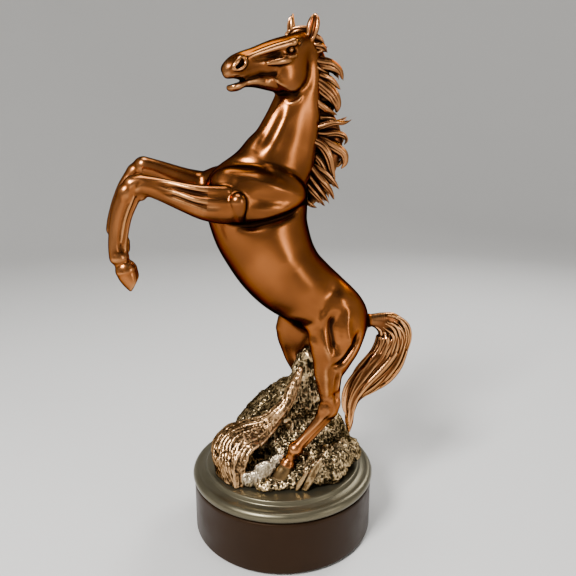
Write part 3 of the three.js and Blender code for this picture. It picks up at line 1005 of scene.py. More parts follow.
def cheek(half):
    """The cheek's disc, the edge in front of it and the soft hollow before that."""
    half.lump((-23.5, 5.6, -15), (11.6, 4.8, 10.6), 3, along=(1, 0, 0.25))
    half.stroke([(-33.6, 8, -7.5), (-37.4, 7, -11.5), (-36.8, 7, -16.5), (-32, 8, -21.5)], -0.9, 1.3)
    half.stroke([(-42, 6.4, -7.5), (-43.4, 6, -10.5), (-41.4, 6, -14)], 0.8, 2.6)


def nose_bone(half):
    """The nasal bone with its brow, the groove below it, and the facial crest."""
    half.rod(
        [
            (-49, 4.0, 2.0, 1.4),
            (-40, 5.2, 1.6, 1.8),
            (-31, 7.0, 0.8, 2.1),
            (-24, 8.4, -0.2, 2.3),
            (-19.6, 8.6, -0.8, 2.4),
        ],
        1.2,
    )
    half.lump((-19.6, 9.2, -0.4), (3.4, 2.6, 2.3), 0.6)
    half.stroke([(-48, 5.8, 0.2), (-37, 7, -1.9), (-28, 8.8, -2.9)], 1.5, 1.3)
    half.rod(
        [(-39, 6.8, -4.8, 1.1), (-33.5, 8.6, -6.1, 1.9), (-28.4, 9.4, -7.4, 1.9), (-25, 9.4, -8.4, 1.2)],
        0.8,
    )
    half.rod([(-29, 9.3, -5.2, 1.0), (-25.6, 10, -6.4, 1.2), (-21.4, 10, -7.2, 0.9)], 0.5)


def eye(half):
    """The eye in its deep socket, under the brow."""
    half.socket((-22.8, 10.8, -3.5), (3.8, 3.6, 1.9), 0.4, along=(1, 0, -0.3))
    half.lump((-22.2, 8.0, -3.5), (2.0, 1.9, 1.7), 0.1)
    half.stroke([(-16.5, 8.6, 0.4), (-14, 8.8, -2.6)], 1.0, 2.0)


def nostril(half):
    """A flare, its bean-shaped hollow and the thick rim."""
    half.lump((-56.4, 3.8, 1.0), (5.4, 3.2, 3.8), 1.4, along=(1, 0, 0.3))
    hollow = [
        (-60, 7.2, 0.6, 2.0, 0.8),
        (-57.8, 7.4, 0.6, 2.4, 1.2),
        (-55.2, 7.0, 1.5, 2.6, 1.6),
        (-54.4, 6.4, 2.6, 2.2, 1.2),
    ]
    half.hollow(hollow, 0.3)
    rim = [
        (-60, 6.2, 2.4),
        (-57, 6.3, 3.6),
        (-54, 5.6, 4.2),
        (-51.8, 6.0, 2.6),
        (-53, 7.0, 0.2),
        (-56.2, 7.2, -1.3),
        (-60, 6.8, -1.0),
        (-61.4, 5.8, 0.8),
    ]
    half.stroke(rim + rim[:1], -0.9, 0.9, fade=0)


def lips(half):
    """The fold round the corner of the mouth, and the lips."""
    half.stroke([(-62, 5.4, -1.2), (-59, 6.4, -2.6), (-55.4, 6.3, -5), (-53.2, 5.8, -8.2)], 0.6, 0.8)
    half.stroke([(-63.6, 3.6, -2.2), (-60, 5.6, -3.2), (-57.4, 6, -4.6)], -0.5, 0.8)
    half.stroke([(-63.6, 3.4, -7.2), (-60, 4.6, -7.4), (-57.4, 4.8, -7.8)], -0.5, 0.8)
    half.stroke([(-56, 4.4, -10.8), (-53.6, 4.8, -9.4)], 0.5, 0.9)


def throat(half):
    """The hollow behind the cheek."""
    half.stroke([(-9.5, 9, -5), (-10, 10, -14), (-16, 9, -24), (-26, 8, -27.5)], 0.9, 3.0)


def ear(clay, rows, facing):
    """A leaf-shaped ear with an open side: facing is the direction (x, y) it opens to."""
    fx, fy = facing
    across = (fy, -fx, 0)
    clay.add(Sweep(rows, side=across, at=HEAD), blend=0.7)
    scoop = []
    for x, y, z, w, d in rows[1:-1]:
        scoop.append((x + fx * 1.1 * d, y + fy * 1.1 * d, z + 0.5, w * 0.5, d * 0.95))
    clay.cut(Sweep(scoop, side=across, at=HEAD), blend=0.4)


def horse(clay):
    """Every form of the horse but its hair. Each block takes the ones that reach it."""
    body(clay)
    hind_leg(clay, -1)
    hind_leg(clay, 1)
    foreleg(clay, LEFT_ARM, LEFT_SHIN)
    foreleg(clay, RIGHT_ARM, RIGHT_SHIN)
    head(clay)
    clay.add(Sweep(TAIL[:4]), blend=4)


# ---------------------------------------------------------------- hair
rng = np.random.default_rng(7)


def lock(path, width, count, radius, facing=(0, -1, 0), depth=1.0, taper=0.85):
    """A lock of hair: strands that start together, spread side by side and meet in a point."""
    centre = smooth_curve(path, 5)
    n = len(centre)
    tangents = unit(np.gradient(centre, axis=0))
    across = unit(np.cross(tangents, unit(facing)))
    out_of = np.cross(across, tangents)
    t = np.linspace(0, 1, n)
    girth = np.sin(np.pi * np.clip(0.18 + 0.82 * t, 0, 1)) ** 0.7
    out = []
    for k in range(count):
        u = 0.0 if count == 1 else 2 * k / (count - 1) - 1
        wobble = 0.12 * np.sin(2 * np.pi * (t * rng.uniform(0.6, 1.2) + rng.uniform()))
        offset = (u + wobble) * (width - radius) * girth
        lift = (depth * (1 - u * u) + rng.uniform(-0.35, 0.35)) * girth * radius
        size = radius * rng.uniform(0.85, 1.15) * (1 - taper * t**2.5)
        rows = np.column_stack([centre + across * offset[:, None] + out_of * lift[:, None], size])
        out.append(rows[: n - int(rng.integers(0, 1 + n // 7) * abs(u))])
    return out


# Main locks of the mane: (x, z) on the neck's side from root to tip, half width, and place across the neck.
MANE = {
    "mane_crest": [
        ([(17.5, 327), (20.5, 325.4), (23, 322.4), (24.4, 318)], 2.4, -5),
        ([(17, 322.6), (20.4, 321.4), (23.8, 320.4), (26.6, 317.4)], 2.4, -6),
        ([(15.5, 319), (19.5, 317.2), (23.5, 318.4), (27.2, 321.6)], 1.4, -5),
        ([(16, 312), (20, 309.5), (24.5, 307.5), (29, 306.5)], 1.8, -4.5),
        ([(17.5, 315), (23, 312.6), (29.5, 311.4), (35, 308.4), (37.6, 302.6)], 3.6, -5),
        ([(19, 308), (24.6, 305), (31, 302.4), (36.4, 297.6)], 3.0, -2),
        ([(20, 302.5), (25.5, 299), (30.6, 294.4), (34, 289), (33.6, 284.2)], 4.6, -5.5),
        ([(20, 293), (24, 288.4), (29, 285), (34.2, 282.8)], 2.2, -5),
    ],
    "mane_middle": [
        ([(20, 283), (25, 281), (31, 281), (36, 279)], 2.2, -1),
        ([(19.5, 274.5), (25, 276.4), (31, 278.4), (38, 278.4), (44, 281)], 1.9, -5.5),
        ([(20, 272.6), (27, 271.8), (34, 272.6), (39.4, 271), (41, 268), (39, 265.4)], 2.0, -4),
        ([(20.5, 270.5), (28, 267.6), (34.4, 264), (39.4, 260), (40.2, 255), (37.4, 251)], 3.2, -2.5),
        ([(18.5, 269), (25, 265), (29, 258), (31.2, 251), (33.6, 243.6)], 2.9, -6),
        ([(20, 262), (25, 256), (28, 249), (29.4, 243)], 2.4, -3.5),
    ],
    "mane_lower": [
        ([(17.5, 256), (22, 248), (26.6, 242), (30.4, 237), (32.6, 232)], 2.4, -6),
        ([(20, 254.5), (27, 249.6), (32.4, 244), (36.6, 238.4)], 2.4, -4),
        ([(17, 249), (21, 242), (25.4, 236), (29.6, 229.8)], 2.2, -5),
        ([(15.5, 244), (19, 238), (23, 233), (27, 228)], 1.9, -6),
        ([(14.5, 235), (17.6, 230.2), (21.8, 227.4)], 1.6, -5),
    ],
}


def mane_strands(rows):
    """Each main lock shows on the left; narrower ones fill the middle and the right side behind it."""
    strands = []
    for path, width, y in rows:
        for layer, (depth, pull) in enumerate(((y, 0.0), (0.5, -1.8), (6 + y * 0.2, -1.4))):
            points = []
            for i, (x, z) in enumerate(path):
                t = i / (len(path) - 1)
                swing = 0.55 + 0.55 * math.sin(math.pi * min(t * 1.1, 1))
                sway = 0.8 * math.sin(4 * t + z * 0.3 + 2 * layer)
                points.append((x - 2.5 * (1 - t) + pull * t, depth * swing + sway, z + 0.8 * layer * t))
            facing = ((0.1, -1, 0.1), (0.6, -0.2, 0.6), (0.1, 1, 0.1))[layer]
            count = max(3, round(width * 1.7)) - (layer > 0)
            strands += lock(points, width, count, 1.05, facing=facing, depth=1.5)
    return strands


# What fills the mane behind its locks: (x, y, z, half thickness, half depth) from the poll to the withers.
MANE_CORE = [
    (15, 0, 326, 2.4, 3),
    (18.4, 0, 320, 4.2, 5),
    (22, 0, 311, 3, 6.4),
    (24, 0, 302, 3, 6.2),
    (25, 0, 293, 3.2, 7.4),
    (25.5, 0, 284, 2.8, 6.4),
    (29, 0, 274, 2.8, 8),
    (31, 0, 264, 3.2, 7.6),
    (29, 0, 254, 3, 6.6),
    (25, 0, 245, 2.8, 6.4),
    (21.5, 0, 237, 2.4, 5),
    (18.6, 0, 231, 1.8, 2.4),
]

TAIL = [
    (46, 0, 151, 6, 6),
    (54, 0, 150.6, 5, 5),
    (60, 0, 150.4, 4.2, 4.4),
    (66, 0, 149.8, 4.4, 5.4),
    (72, 0, 147.8, 4.8, 8),
    (77, -0.4, 144, 5, 11),
    (79.4, -1, 138, 5, 12.3),
    (77.4, -1.6, 130.6, 4.8, 12),
    (72.6, -2.4, 122.4, 4.6, 11.8),
    (66.2, -3.2, 115.4, 4.4, 12),
    (58.8, -4.2, 109.2, 4.2, 11.2),
    (52.6, -5.2, 103.6, 3.8, 8.2),
    (48.6, -6, 96.6, 3, 5),
    (46.8, -6.4, 88, 2.4, 3),
    (46, -6.8, 80, 2.2, 2.6),
    (45.6, -7, 73.6, 1, 1),
]


def tail_strands():
    """Strands down both faces of the tail: the outer ones end loose, the inner ones reach the ground."""
    centre = smooth_curve(TAIL[3:], 4)
    points, half = centre[:, :3], centre[:, 3:]
    tangents = unit(np.gradient(points, axis=0))
    lateral = np.array([0, 1.0, 0])
    inward = np.cross(lateral, tangents)
    n = len(points)
    t = np.linspace(0, 1, n)
    strands = []
    for k in range(64):
        face = -1 if k % 2 else 1
        u = rng.uniform(-0.98, 0.98) if k > 30 else (k - 15) / 15.4
        drift = u + 0.10 * np.sin(2 * np.pi * (1.2 * t + rng.uniform()))
        drift = drift + 0.05 * np.sin(2 * np.pi * (3 * t + rng.uniform()))
        drift = np.clip(drift, -1.02, 1.02)
        rise = np.sqrt(np.clip(1.04 - drift**2, 0.02, 1))
        offset = inward * (drift * half[:, 1])[:, None] + lateral * (face * rise * half[:, 0])[:, None]
        first = int(rng.integers(3, 12)) if abs(u) < 0.8 else int(rng.integers(0, 6))
        last = n - int(rng.integers(0, 6)) if u > -0.25 else int(n * rng.uniform(0.6, 0.76))
        size = rng.uniform(0.8, 1.35) * np.clip(
            (t * n - first) / 6, 0.25, 1
        ) * np.clip((last - t * n) / 7, 0.2, 1)
        strands.append(np.column_stack([points + offset, size])[first:last])
    strands += lock(
        [(84.6, -5, 131), (80.4, -6, 122), (75.4, -6.4, 114.6), (69.6, -6.4, 108), (62, -6, 104)],
        3.4,
        6,
        1.15,
        facing=(0, -1, 0.1),
    )
    strands += lock(
        [(87, -4, 127), (82.4, -5, 117), (76, -5.5, 109), (68.6, -5.5, 103.4), (60, -5.6, 100.6)],
        2.6,
        5,
        1.15,
        facing=(0, -1, 0.1),
    )
    strands += lock(
        [(78.6, -6, 127), (71, -7.4, 120), (63, -8, 112.8), (56, -8.6, 106), (49.6, -9, 98), (46, -9, 89)],
        3.2,
        5,
        1.2,
        facing=(0, -1, 0.1),
    )
    strands += lock(
        [(64, -3, 126), (58, -4, 119.4), (51, -5, 113), (45, -6, 105), (42.4, -6.5, 95), (43.4, -7, 84)],
        4.6,
        8,
        1.2,
    )
    strands += lock(
        [(86, 4, 130), (82, 5, 119), (75, 5, 110), (66, 3, 102.6)],
        4.4,
        5,
        1.3,
        facing=(0, 1, 0.1),
    )
    return strands


def forelock_strands():
    """The roll of hair between the ears and the curls that hang from it."""
    strands = []
    roll = [(1.6, -5.6, -1.4), (-0.8, -3.4, 1.4), (-3.6, -0.6, 3.0), (-6.4, 2.6, 3.8), (-8.4, 5.2, 3.0)]
    strands += lock(roll, 1.7, 3, 0.95, facing=(-0.5, -0.2, 1), depth=0.8, taper=0.4)
    under = [(0.6, -3.6, -0.6), (-2.4, -1.4, 1.4), (-5.4, 1.4, 2.4), (-8, 4, 2.0)]
    strands += lock(under, 2.4, 4, 1.2, facing=(-0.7, -0.2, 0.7), depth=0.4, taper=0.3)
    rim = [(-1.6, -5.8, -4.6), (-4.2, -5, -1.8), (-7, -3.2, 0.2), (-9.6, -0.8, 1.2), (-11.2, 1.8, 1.6)]
    strands += lock(rim, 1.2, 2, 0.8, facing=(-0.6, -0.3, 0.8), depth=0.6, taper=0.4)
    curl = [(-6, 2.4, 3.2), (-8.4, 4.4, 3.8), (-10.8, 4.6, 2.8), (-11.2, 2.8, 1.8), (-9.6, 1.8, 2.2)]
    strands += lock(curl, 1.0, 2, 0.75, facing=(-0.6, 0, 0.8), depth=0.5, taper=0.4)
    strands += lock(
        [(3, 4.4, -1), (0, 3, 1.6), (-3, 1.6, 2.6), (-6.4, 0, 2.2)],
        1.8,
        3,
        0.9,
        facing=(-0.2, 0.1, 1),
    )
    return strands


# ---------------------------------------------------------------- materials
def nodes_of(name):
    """A new material, its tree and its shader."""
    material = bpy.data.materials.new(name)
    material.use_nodes = True
    tree = material.node_tree
    return material, tree, tree.nodes["Principled BSDF"]


def mark(tree, name):
    """The value of a mark that the mesh carries."""
    node = tree.nodes.new("ShaderNodeAttribute")
    node.attribute_name = name
    return node.outputs["Fac"]


def spread(tree, value, low, high, start=0.0, end=1.0):
    """A value moved smoothly from one range to another."""
    node = tree.nodes.new("ShaderNodeMapRange")
    node.interpolation_type = "SMOOTHSTEP"
    tree.links.new(value, node.inputs["Value"])
    for key, number in (("From Min", low), ("From Max", high), ("To Min", start), ("To Max", end)):
        node.inputs[key].default_value = number
    return node.outputs["Result"]


def maths(tree, operation, a, b):
    node = tree.nodes.new("ShaderNodeMath")
    node.operation = operation
    for socket, value in zip(node.inputs, (a, b)):
        if isinstance(value, (int, float)):
            socket.default_value = value
        else:
            tree.links.new(value, socket)
    return node.outputs[0]


def mixed(tree, factor, a, b):
    """A colour between two colours."""
    node = tree.nodes.new("ShaderNodeMix")
    node.data_type = "RGBA"
    tree.links.new(factor, node.inputs["Factor"])
    for key, value in ((6, a), (7, b)):
        if isinstance(value, tuple):
            node.inputs[key].default_value = (*value, 1)
        else:
            tree.links.new(value, node.inputs[key])
    return node.outputs[2]


def speckle(tree, scale, detail=3.0):
    """Noise fixed to the object."""
    place = tree.nodes.new("ShaderNodeTexCoord")
    node = tree.nodes.new("ShaderNodeTexNoise")
    node.inputs["Scale"].default_value = scale
    node.inputs["Detail"].default_value = detail
    tree.links.new(place.outputs["Object"], node.inputs["Vector"])
    return node.outputs["Fac"]


def bump(tree, shader, height, strength, distance):
    node = tree.nodes.new("ShaderNodeBump")
    node.inputs["Strength"].default_value = strength
    node.inputs["Distance"].default_value = distance
    tree.links.new(height, node.inputs["Height"])
    tree.links.new(node.outputs["Normal"], shader.inputs["Normal"])


def occlusion(tree, distance):
    """How open the surface is to its surroundings: 1 is open."""
    node = tree.nodes.new("ShaderNodeAmbientOcclusion")
    node.samples = 6
    node.inputs["Distance"].default_value = distance
    return node.outputs["AO"]


def upright(tree):
    """How far the surface faces up: 1 on top, -1 underneath."""
    facing = tree.nodes.new("ShaderNodeNewGeometry")
    split = tree.nodes.new("ShaderNodeSeparateXYZ")
    tree.links.new(facing.outputs["Normal"], split.inputs["Vector"])
    return split.outputs["Z"]


def bronze(name, bright, middle, dark, cavity, shade, rough):
    """Rubbed bronze: bright where it stands proud, brown on the flat, dark patina in the small hollows, and
    painted shade in the broad hollows, where nearby parts hide the surface, at grazing angles and on the
    undersides.
    """
    material, tree, shader = nodes_of(name)
    fine, wide = mark(tree, "fine"), mark(tree, "wide")
    mottled = speckle(tree, 90)
    # dark patina in the small hollows, and painted shade in the broad ones
    hollow = maths(tree, "ADD", spread(tree, fine, *cavity), spread(tree, wide, *shade))
    hollow = maths(tree, "ADD", hollow, maths(tree, "MULTIPLY", maths(tree, "SUBTRACT", mottled, 0.5), 0.3))
    # painted shade where nearby parts hide the surface, from ambient occlusion
    painted_occlusion_shade = spread(tree, occlusion(tree, 0.014), 0.8, 0.3)
    hollow = maths(tree, "MAXIMUM", hollow, painted_occlusion_shade)
    proud = spread(tree, fine, 0.495, 0.42)
    clouds = spread(tree, speckle(tree, 26, 2), 0.38, 0.66, 0.0, 0.75)
    colour = mixed(tree, clouds, middle, tuple(0.42 * c for c in middle))
    colour = mixed(tree, proud, colour, bright)
    # the mask of patina and painted shade that darkens the colour and raises the roughness
    patina_and_painted_shade = spread(tree, hollow, 0.0, 1.0)
    colour = mixed(tree, patina_and_painted_shade, colour, dark)
    # painted shade: the colour goes dark where the surface is seen at a grazing angle
    rim = tree.nodes.new("ShaderNodeLayerWeight")
    rim.inputs["Blend"].default_value = 0.5
    colour = mixed(tree, spread(tree, rim.outputs["Facing"], 0.4, 1.0, 0.0, 0.7), colour, dark)
    # painted shade: surfaces that face down are darkened
    colour = mixed(tree, spread(tree, upright(tree), 0.15, -0.75, 0.0, 0.6), colour, dark)
    tree.links.new(colour, shader.inputs["Base Color"])
    shader.inputs["Metallic"].default_value = 1.0
    shader.inputs["Specular Tint"].default_value = (*dark, 1)
    tree.links.new(spread(tree, patina_and_painted_shade, 0, 1, rough[0], rough[1]), shader.inputs["Roughness"])
    bump(tree, shader, speckle(tree, 900, 2), 0.05, 0.0004)
    return material


def plain(name, colour, metallic, roughness, scale, contrast, specular=0.5, tint=(1, 1, 1)):
    """A plain finish with a faint change of tone and roughness over it."""
    material, tree, shader = nodes_of(name)
    grain = speckle(tree, scale)
    lighter = tuple(min(c * (1 + contrast), 1) for c in colour)
    tree.links.new(mixed(tree, grain, colour, lighter), shader.inputs["Base Color"])
    tree.links.new(
        spread(tree, grain, 0.3, 0.7, roughness * 0.85, roughness * 1.15), shader.inputs["Roughness"]
    )
    shader.inputs["Metallic"].default_value = metallic
    shader.inputs["Specular IOR Level"].default_value = specular
    shader.inputs["Specular Tint"].default_value = (*tint, 1)
    bump(tree, shader, grain, 0.05, 0.0003)
    return material


HORSE_BRONZE = bronze(
    "horse_bronze", (0.72, 0.32, 0.12), (0.37, 0.12, 0.031), (
        0.020, 0.007, 0.003
    ), (0.515, 0.61), (0.53, 0.66), (0.25, 0.45)
)
HAIR_BRONZE = bronze(
    "hair_bronze", (0.62, 0.27, 0.10), (0.15, 0.048, 0.015), (
        0.012, 0.005, 0.003
    ), (0.48, 0.58), (0.54, 0.72), (0.26, 0.5)
)
TAIL_BRONZE = bronze(
    "tail_bronze", (0.78, 0.37, 0.145), (0.20, 0.066, 0.019), (
        0.016, 0.007, 0.003
    ), (0.49, 0.6), (0.55, 0.74), (0.24, 0.5)
)
HOOF_BRONZE = bronze(
    "hoof_bronze", (0.50, 0.33, 0.16), (0.20, 0.115, 0.045), (
        0.018, 0.012, 0.006
    ), (0.52, 0.62), (0.56, 0.74), (0.3, 0.5)
)
GROUND_BRONZE = bronze(
    "ground_bronze", (0.84, 0.60, 0.32), (0.105, 0.07, 0.03), (
        0.010, 0.008, 0.004
    ), (0.44, 0.56), (0.55, 0.75), (0.3, 0.6)
)
ROOT_BRONZE = bronze(
    "root_bronze", (0.68, 0.40, 0.19), (0.16, 0.082, 0.032), (
        0.016, 0.011, 0.006
    ), (0.47, 0.58), (0.56, 0.75), (0.28, 0.55)
)
STONE_BRONZE = bronze(
    "stone_bronze", (0.74, 0.60, 0.42), (0.42, 0.33, 0.215), (
        0.03, 0.024, 0.016
    ), (0.48, 0.6), (0.57, 0.78), (0.35, 0.55)
)
LACQUER = plain(
    "black_lacquer",
    (0.012, 0.006, 0.003),
    0.0,
    0.42,
    60,
    0.6,
    specular=0.2,
    tint=(0.9, 0.55, 0.35),
)
RUBBED_LACQUER = plain("rubbed_lacquer", (0.115, 0.10, 0.062), 0.85, 0.36, 45, 0.35)
FELT = plain("green_felt", (0.02, 0.035, 0.028), 0.0, 0.95, 1400, 0.9)
STEEL = plain("zinc_steel", (0.62, 0.63, 0.65), 1.0, 0.35, 300, 0.1)


# ---------------------------------------------------------------- the horse's pieces
NECK_TOP_CUT = ((5, 0, 287), (0.1, 0, 1), 32)
NECK_FOOT_CUT = ((-7, 0, 248), (0.4, 0, 0.92), 44)
ARM_CUTS = {-1: ((-50, -22, 234), (-1, 0, 0.1), 15), 1: ((-49, 18, 243), (-1, 0, 0.15), 15)}
TAIL_CUT = ((61.5, 0, 150), (1, 0, 0), 10)
TAIL_MIDDLE_CUT = ((79.6, -1, 137.3), (0, 0, -1), -24)


def thigh_cut(side):
    """The plane that parts a hind leg from the trunk: it rises outwards from the crotch."""
    return (34 + lead(side, 138.6), side * 17, 138.6), (0, side * 0.55, -0.83), 30


def turned(matrix, direction):
    return tuple((matrix.to_3x3() @ Vector(direction)).normalized())


def placed(matrix, point):
    return tuple(matrix @ Vector(point))


def finish_all(parts, slot, material, at=HORSE):
    for name, obj in parts.items():
        finish_piece(obj, name, name, slot, material, at)


def make_trunk():
    clay = Clay((-64, -36, 108), (68, 36, 300), 0.54)
    horse(clay)
    cuts = [NECK_TOP_CUT, NECK_FOOT_CUT, ARM_CUTS[-1], ARM_CUTS[1], thigh_cut(-1), thigh_cut(1), TAIL_CUT]
    parts = divided("trunk", clay.surface(), cuts, {"torso": (-33, -18, 200), "neck": (-6, -12, 265)})
    finish_all(parts, "horse_bronze", HORSE_BRONZE)


def make_head():
    clay = Clay((-48, -38, 282), (34, 18, 346), 0.33)
    horse(clay)
    cuts = [
        NECK_TOP_CUT,
        (placed(HEAD, (-0.4, -7.7, 3.0)), turned(HEAD, (0.55, 0, 1)), 6),
        (placed(HEAD, (-2.8, 7.4, 4.6)), turned(HEAD, (0.35, 0, 1)), 6),
        (placed(HEAD, (-57.6, 0, -9.4)), turned(HEAD, (-1, 0, 0.15)), 7),
    ]
    seeds = {
        "head": placed(HEAD, (-40, 0, 4)),
        "left_ear": placed(HEAD, (5.0, -7.1, 9.1)),
        "right_ear": placed(HEAD, (1.2, 7, 11.6)),
        "lower_jaw": placed(HEAD, (-66, 0, -9)),
    }
    finish_all(divided("skull", clay.surface(), cuts, seeds), "horse_bronze", HORSE_BRONZE)


def make_foreleg(name, side, arm, shin):
    low, high = ((-110, -36, 180), (-44, -4, 256)) if side < 0 else ((-112, 4, 190), (-42, 32, 268))
    clay = Clay(low, high, 0.4)
    horse(clay)
    cuts = [
        ARM_CUTS[side],
        (placed(shin, (-88.5, -16.5, 239.5)), turned(shin, (-0.6, 0, -0.8)), 14),
        (placed(shin, (-95.3, -15, 197.9)), turned(shin, (0.18, 0, -1)), 9),
    ]
    seeds = {
        name + "_forearm": placed(arm, (-66, -20, 246)),
        name + "_fore_cannon": placed(shin, (-102, -15, 218)),
        name + "_fore_hoof": placed(shin, (-93, -15, 186)),
    }
    finish_all(divided(name + "_fore", clay.surface(), cuts, seeds), "horse_bronze", HORSE_BRONZE)


def make_hind_leg(name, side):
    low, high = ((-20, -32, 46), (60, -2, 152)) if side < 0 else ((-28, 2, 46), (48, 34, 152))
    clay = Clay(low, high, 0.42)
    horse(clay)
    spot = hind_spot(side)
    rows = [
        spot(-1.4, 17.2, 62.4, 4.6, 4.8),
        spot(-2.4, 17.2, 59.6, 5.2, 5.6),
        spot(-4.4, 17.2, 55.6, 6.0, 6.8),
        spot(-7, 17.2, 49, 7, 8.4),
    ]
    hoof(clay, rows, spot(-5.4, 17.2, 52.8), (-0.15, 0, -1))
    cuts = [thigh_cut(side), (spot(-1.8, 17.2, 61.6), (-0.34, 0, -0.94), 9)]
    seeds = {name + "_hind_leg": spot(25, 24, 110), name + "_hind_hoof": spot(-8, 17, 55)}
    parts = divided(name + "_hind", clay.surface(), cuts, seeds)
    for part, obj in parts.items():
        finish_piece(
            obj,
            part,
            part,
            "horse_bronze",
            HOOF_BRONZE if part.endswith("hoof") else HORSE_BRONZE,
        )


def hair_block(strands, step, at=IDENTITY, core=None):
    """Strands merged with each other and with what fills them."""
    shape = Strands(strands, at=at)
    clay = Clay(shape.low - 2, shape.high + 2, step)
    clay.add(shape)
    if core:
        clay.add(core, blend=0.4)
    return clay.surface(soften=False)


def make_hair():
    for (name, rows), first in zip(MANE.items(), (0, 4, 7)):
        core = Sweep(MANE_CORE[first : first + 5])
        obj = object_from(name, hair_block(mane_strands(rows), 0.36, core=core))
        finish_piece(obj, name, name, "horse_bronze", HAIR_BRONZE)
    obj = object_from("forelock", hair_block(forelock_strands(), 0.28, HEAD))
    finish_piece(obj, "forelock", "forelock", "horse_bronze", HAIR_BRONZE)

    shape = Strands(tail_strands())
    clay = Clay(np.minimum(shape.low - 2, (46, -12, 66)), shape.high + 2, 0.4)
    clay.add(Sweep([(x, y, z, w * 0.92, d * 0.95) for x, y, z, w, d in TAIL]))
    clay.drawn([(80.5, 149), (83.4, 144), (84, 138), (81, 131)], 1.6, 1.4, -1, start=0)
    clay.drawn([(80.5, 149), (83.4, 144), (84, 138), (81, 131)], 1.6, 1.4, 1, start=0)
    clay.drawn([(72, 150), (76, 146), (77.6, 140)], -0.7, 2.0, -1, start=0)
    clay.add(shape, blend=0.3)
    seeds = {"tail_dock": (74, 0, 154), "tail_switch": (70, -6, 112)}
    finish_all(
        divided("tail", clay.surface(soften=False), [TAIL_CUT, TAIL_MIDDLE_CUT], seeds),
        "horse_bronze",
        TAIL_BRONZE,
    )


# ---------------------------------------------------------------- ground, root, stones
HILL = [
    (46, 2, 2, 49, 43),
    (54, 3, 3, 48, 41),
    (60, 4, 6, 45, 34),
    (68, 5, 11, 40, 28),
    (77, 5, 15, 33, 23),
    (86, 6, 18, 25, 18),
    (94, 7, 18, 17, 13),
    (101, 10, 16, 8, 8),
    (107, 12, 13, 4, 5),
]


# The hill's peak, which rises between the hind legs.
PEAK = [
    (-4, -2, 78, 12, 12),
    (3, -5, 92, 8, 8),
    (9.4, -4, 105, 5.4, 6.6),
    (13, -1.5, 117, 4, 5.8),
    (15, 0, 127, 3.6, 5),
    (16, 1, 136, 3, 3.6),
]
GROUND_FLOOR = 48.6
PIECE_FLOOR = 48.7


class Terraces:
    """Ovals stacked along Z: rows of (z, centre x, centre y, half length, half width)."""

    def __init__(self, rows):
        self.rows = np.array(rows, float)
        z, x, y, a, b = self.rows.T
        self.low = np.array([(x - a).min(), (y - b).min(), z[0]])
        self.high = np.array([(x + a).max(), (y + b).max(), z[-1]])

    def measure(self, clay, window, margin):
        x, y, z = clay.coordinates(window)
        heights = self.rows[:, 0]
        cx, cy, a, b = (np.interp(z.ravel(), heights, self.rows[:, k])[None, None, :] for k in (1, 2, 3, 4))
        k0 = np.sqrt(((x - cx) / a) ** 2 + ((y - cy) / b) ** 2)
        side = (k0 - 1) * np.minimum(a, b) * 0.75
        return np.maximum(side, np.maximum(heights[0] - z, z - heights[-1]))


def rough(surface, flat=48.9, strength=1.0):
    """Turns smooth ground into trodden grass: tufts of short blades with dark gaps between them."""
    points, quads, marks = surface
    normals = vertex_normals(points, quads)
    tufts = noise(points, 6, 1) * 1.0 + noise(points, 3, 2) * 0.7
    blades = np.abs(noise(points * np.array([1, 1, 0.5]), 1.35, 3))
    crumbs = noise(points, 0.7, 4)
    relief = 1.3 * (0.5 - blades) + 0.35 * crumbs
    height = strength * (0.9 * tufts + relief)
    height = np.where(points[:, 2] < flat, 0, height)
    moved = points + normals * height[:, None]
    moved[:, 2] = np.maximum(moved[:, 2], 48.55)
    proud = np.clip(0.5 - 0.16 * (relief + 0.3 * tufts), 0.2, 0.8)
    return moved, quads, dict(marks, fine=0.5 * marks["fine"] + 0.5 * proud)


def rest_on(clay, height):
    """Cuts a form flat at a height."""
    clay.keep(Half((0, 0, height), (0, 0, -1), 90))


def make_hill():
    clay = Clay((-56, -50, 46), (58, 50, 140), 0.5)
    clay.add(Terraces(HILL))
    clay.field = blurred(clay.field, 3 / COARSE)
    clay.add(Lump((0, -24, 53), (11, 12, 6)), blend=5)
    clay.add(Lump((22, -26, 54), (20, 14, 9)), blend=6)
    clay.add(Sweep(PEAK), blend=4)
    clay.add(Lump((16, -1, 94), (10, 8.5, 15)), blend=4)
    clay.add(Lump((17, -3, 116), (5, 4.5, 15)), blend=3)
    clay.cut(Lump((-14, -29, 62), (13, 15, 17)), blend=4)
    clay.add(Lump((-9, -37, 49), (11, 7.5, 6)), blend=4)
    clay.add(Lump((6, -36, 50), (9, 6.5, 6)), blend=4)
    rest_on(clay, GROUND_FLOOR)
    obj = object_from("ground_casting", rough(clay.surface()))
    finish_piece(obj, "ground_casting", "ground_casting", "ground_bronze", GROUND_BRONZE, IDENTITY)


def make_tussock():
    tussock = Clay((12, -42, 46), (62, 8, 84), 0.5)
    for centre, radii in (
        ((34, -17, 58), (13, 12, 9)),
        ((44, -8, 58), (10, 12, 9)),
        ((26, -26, 54), (12, 10, 7)),
        ((48, 1, 54), (6, 8, 7)),
    ):
        tussock.add(Lump(centre, radii), blend=4)
    rest_on(tussock, PIECE_FLOOR)
    obj = object_from("grass_tussock", rough(tussock.surface(), strength=1.15))
    finish_piece(obj, "grass_tussock", "grass_tussock", "ground_bronze", GROUND_BRONZE, IDENTITY)


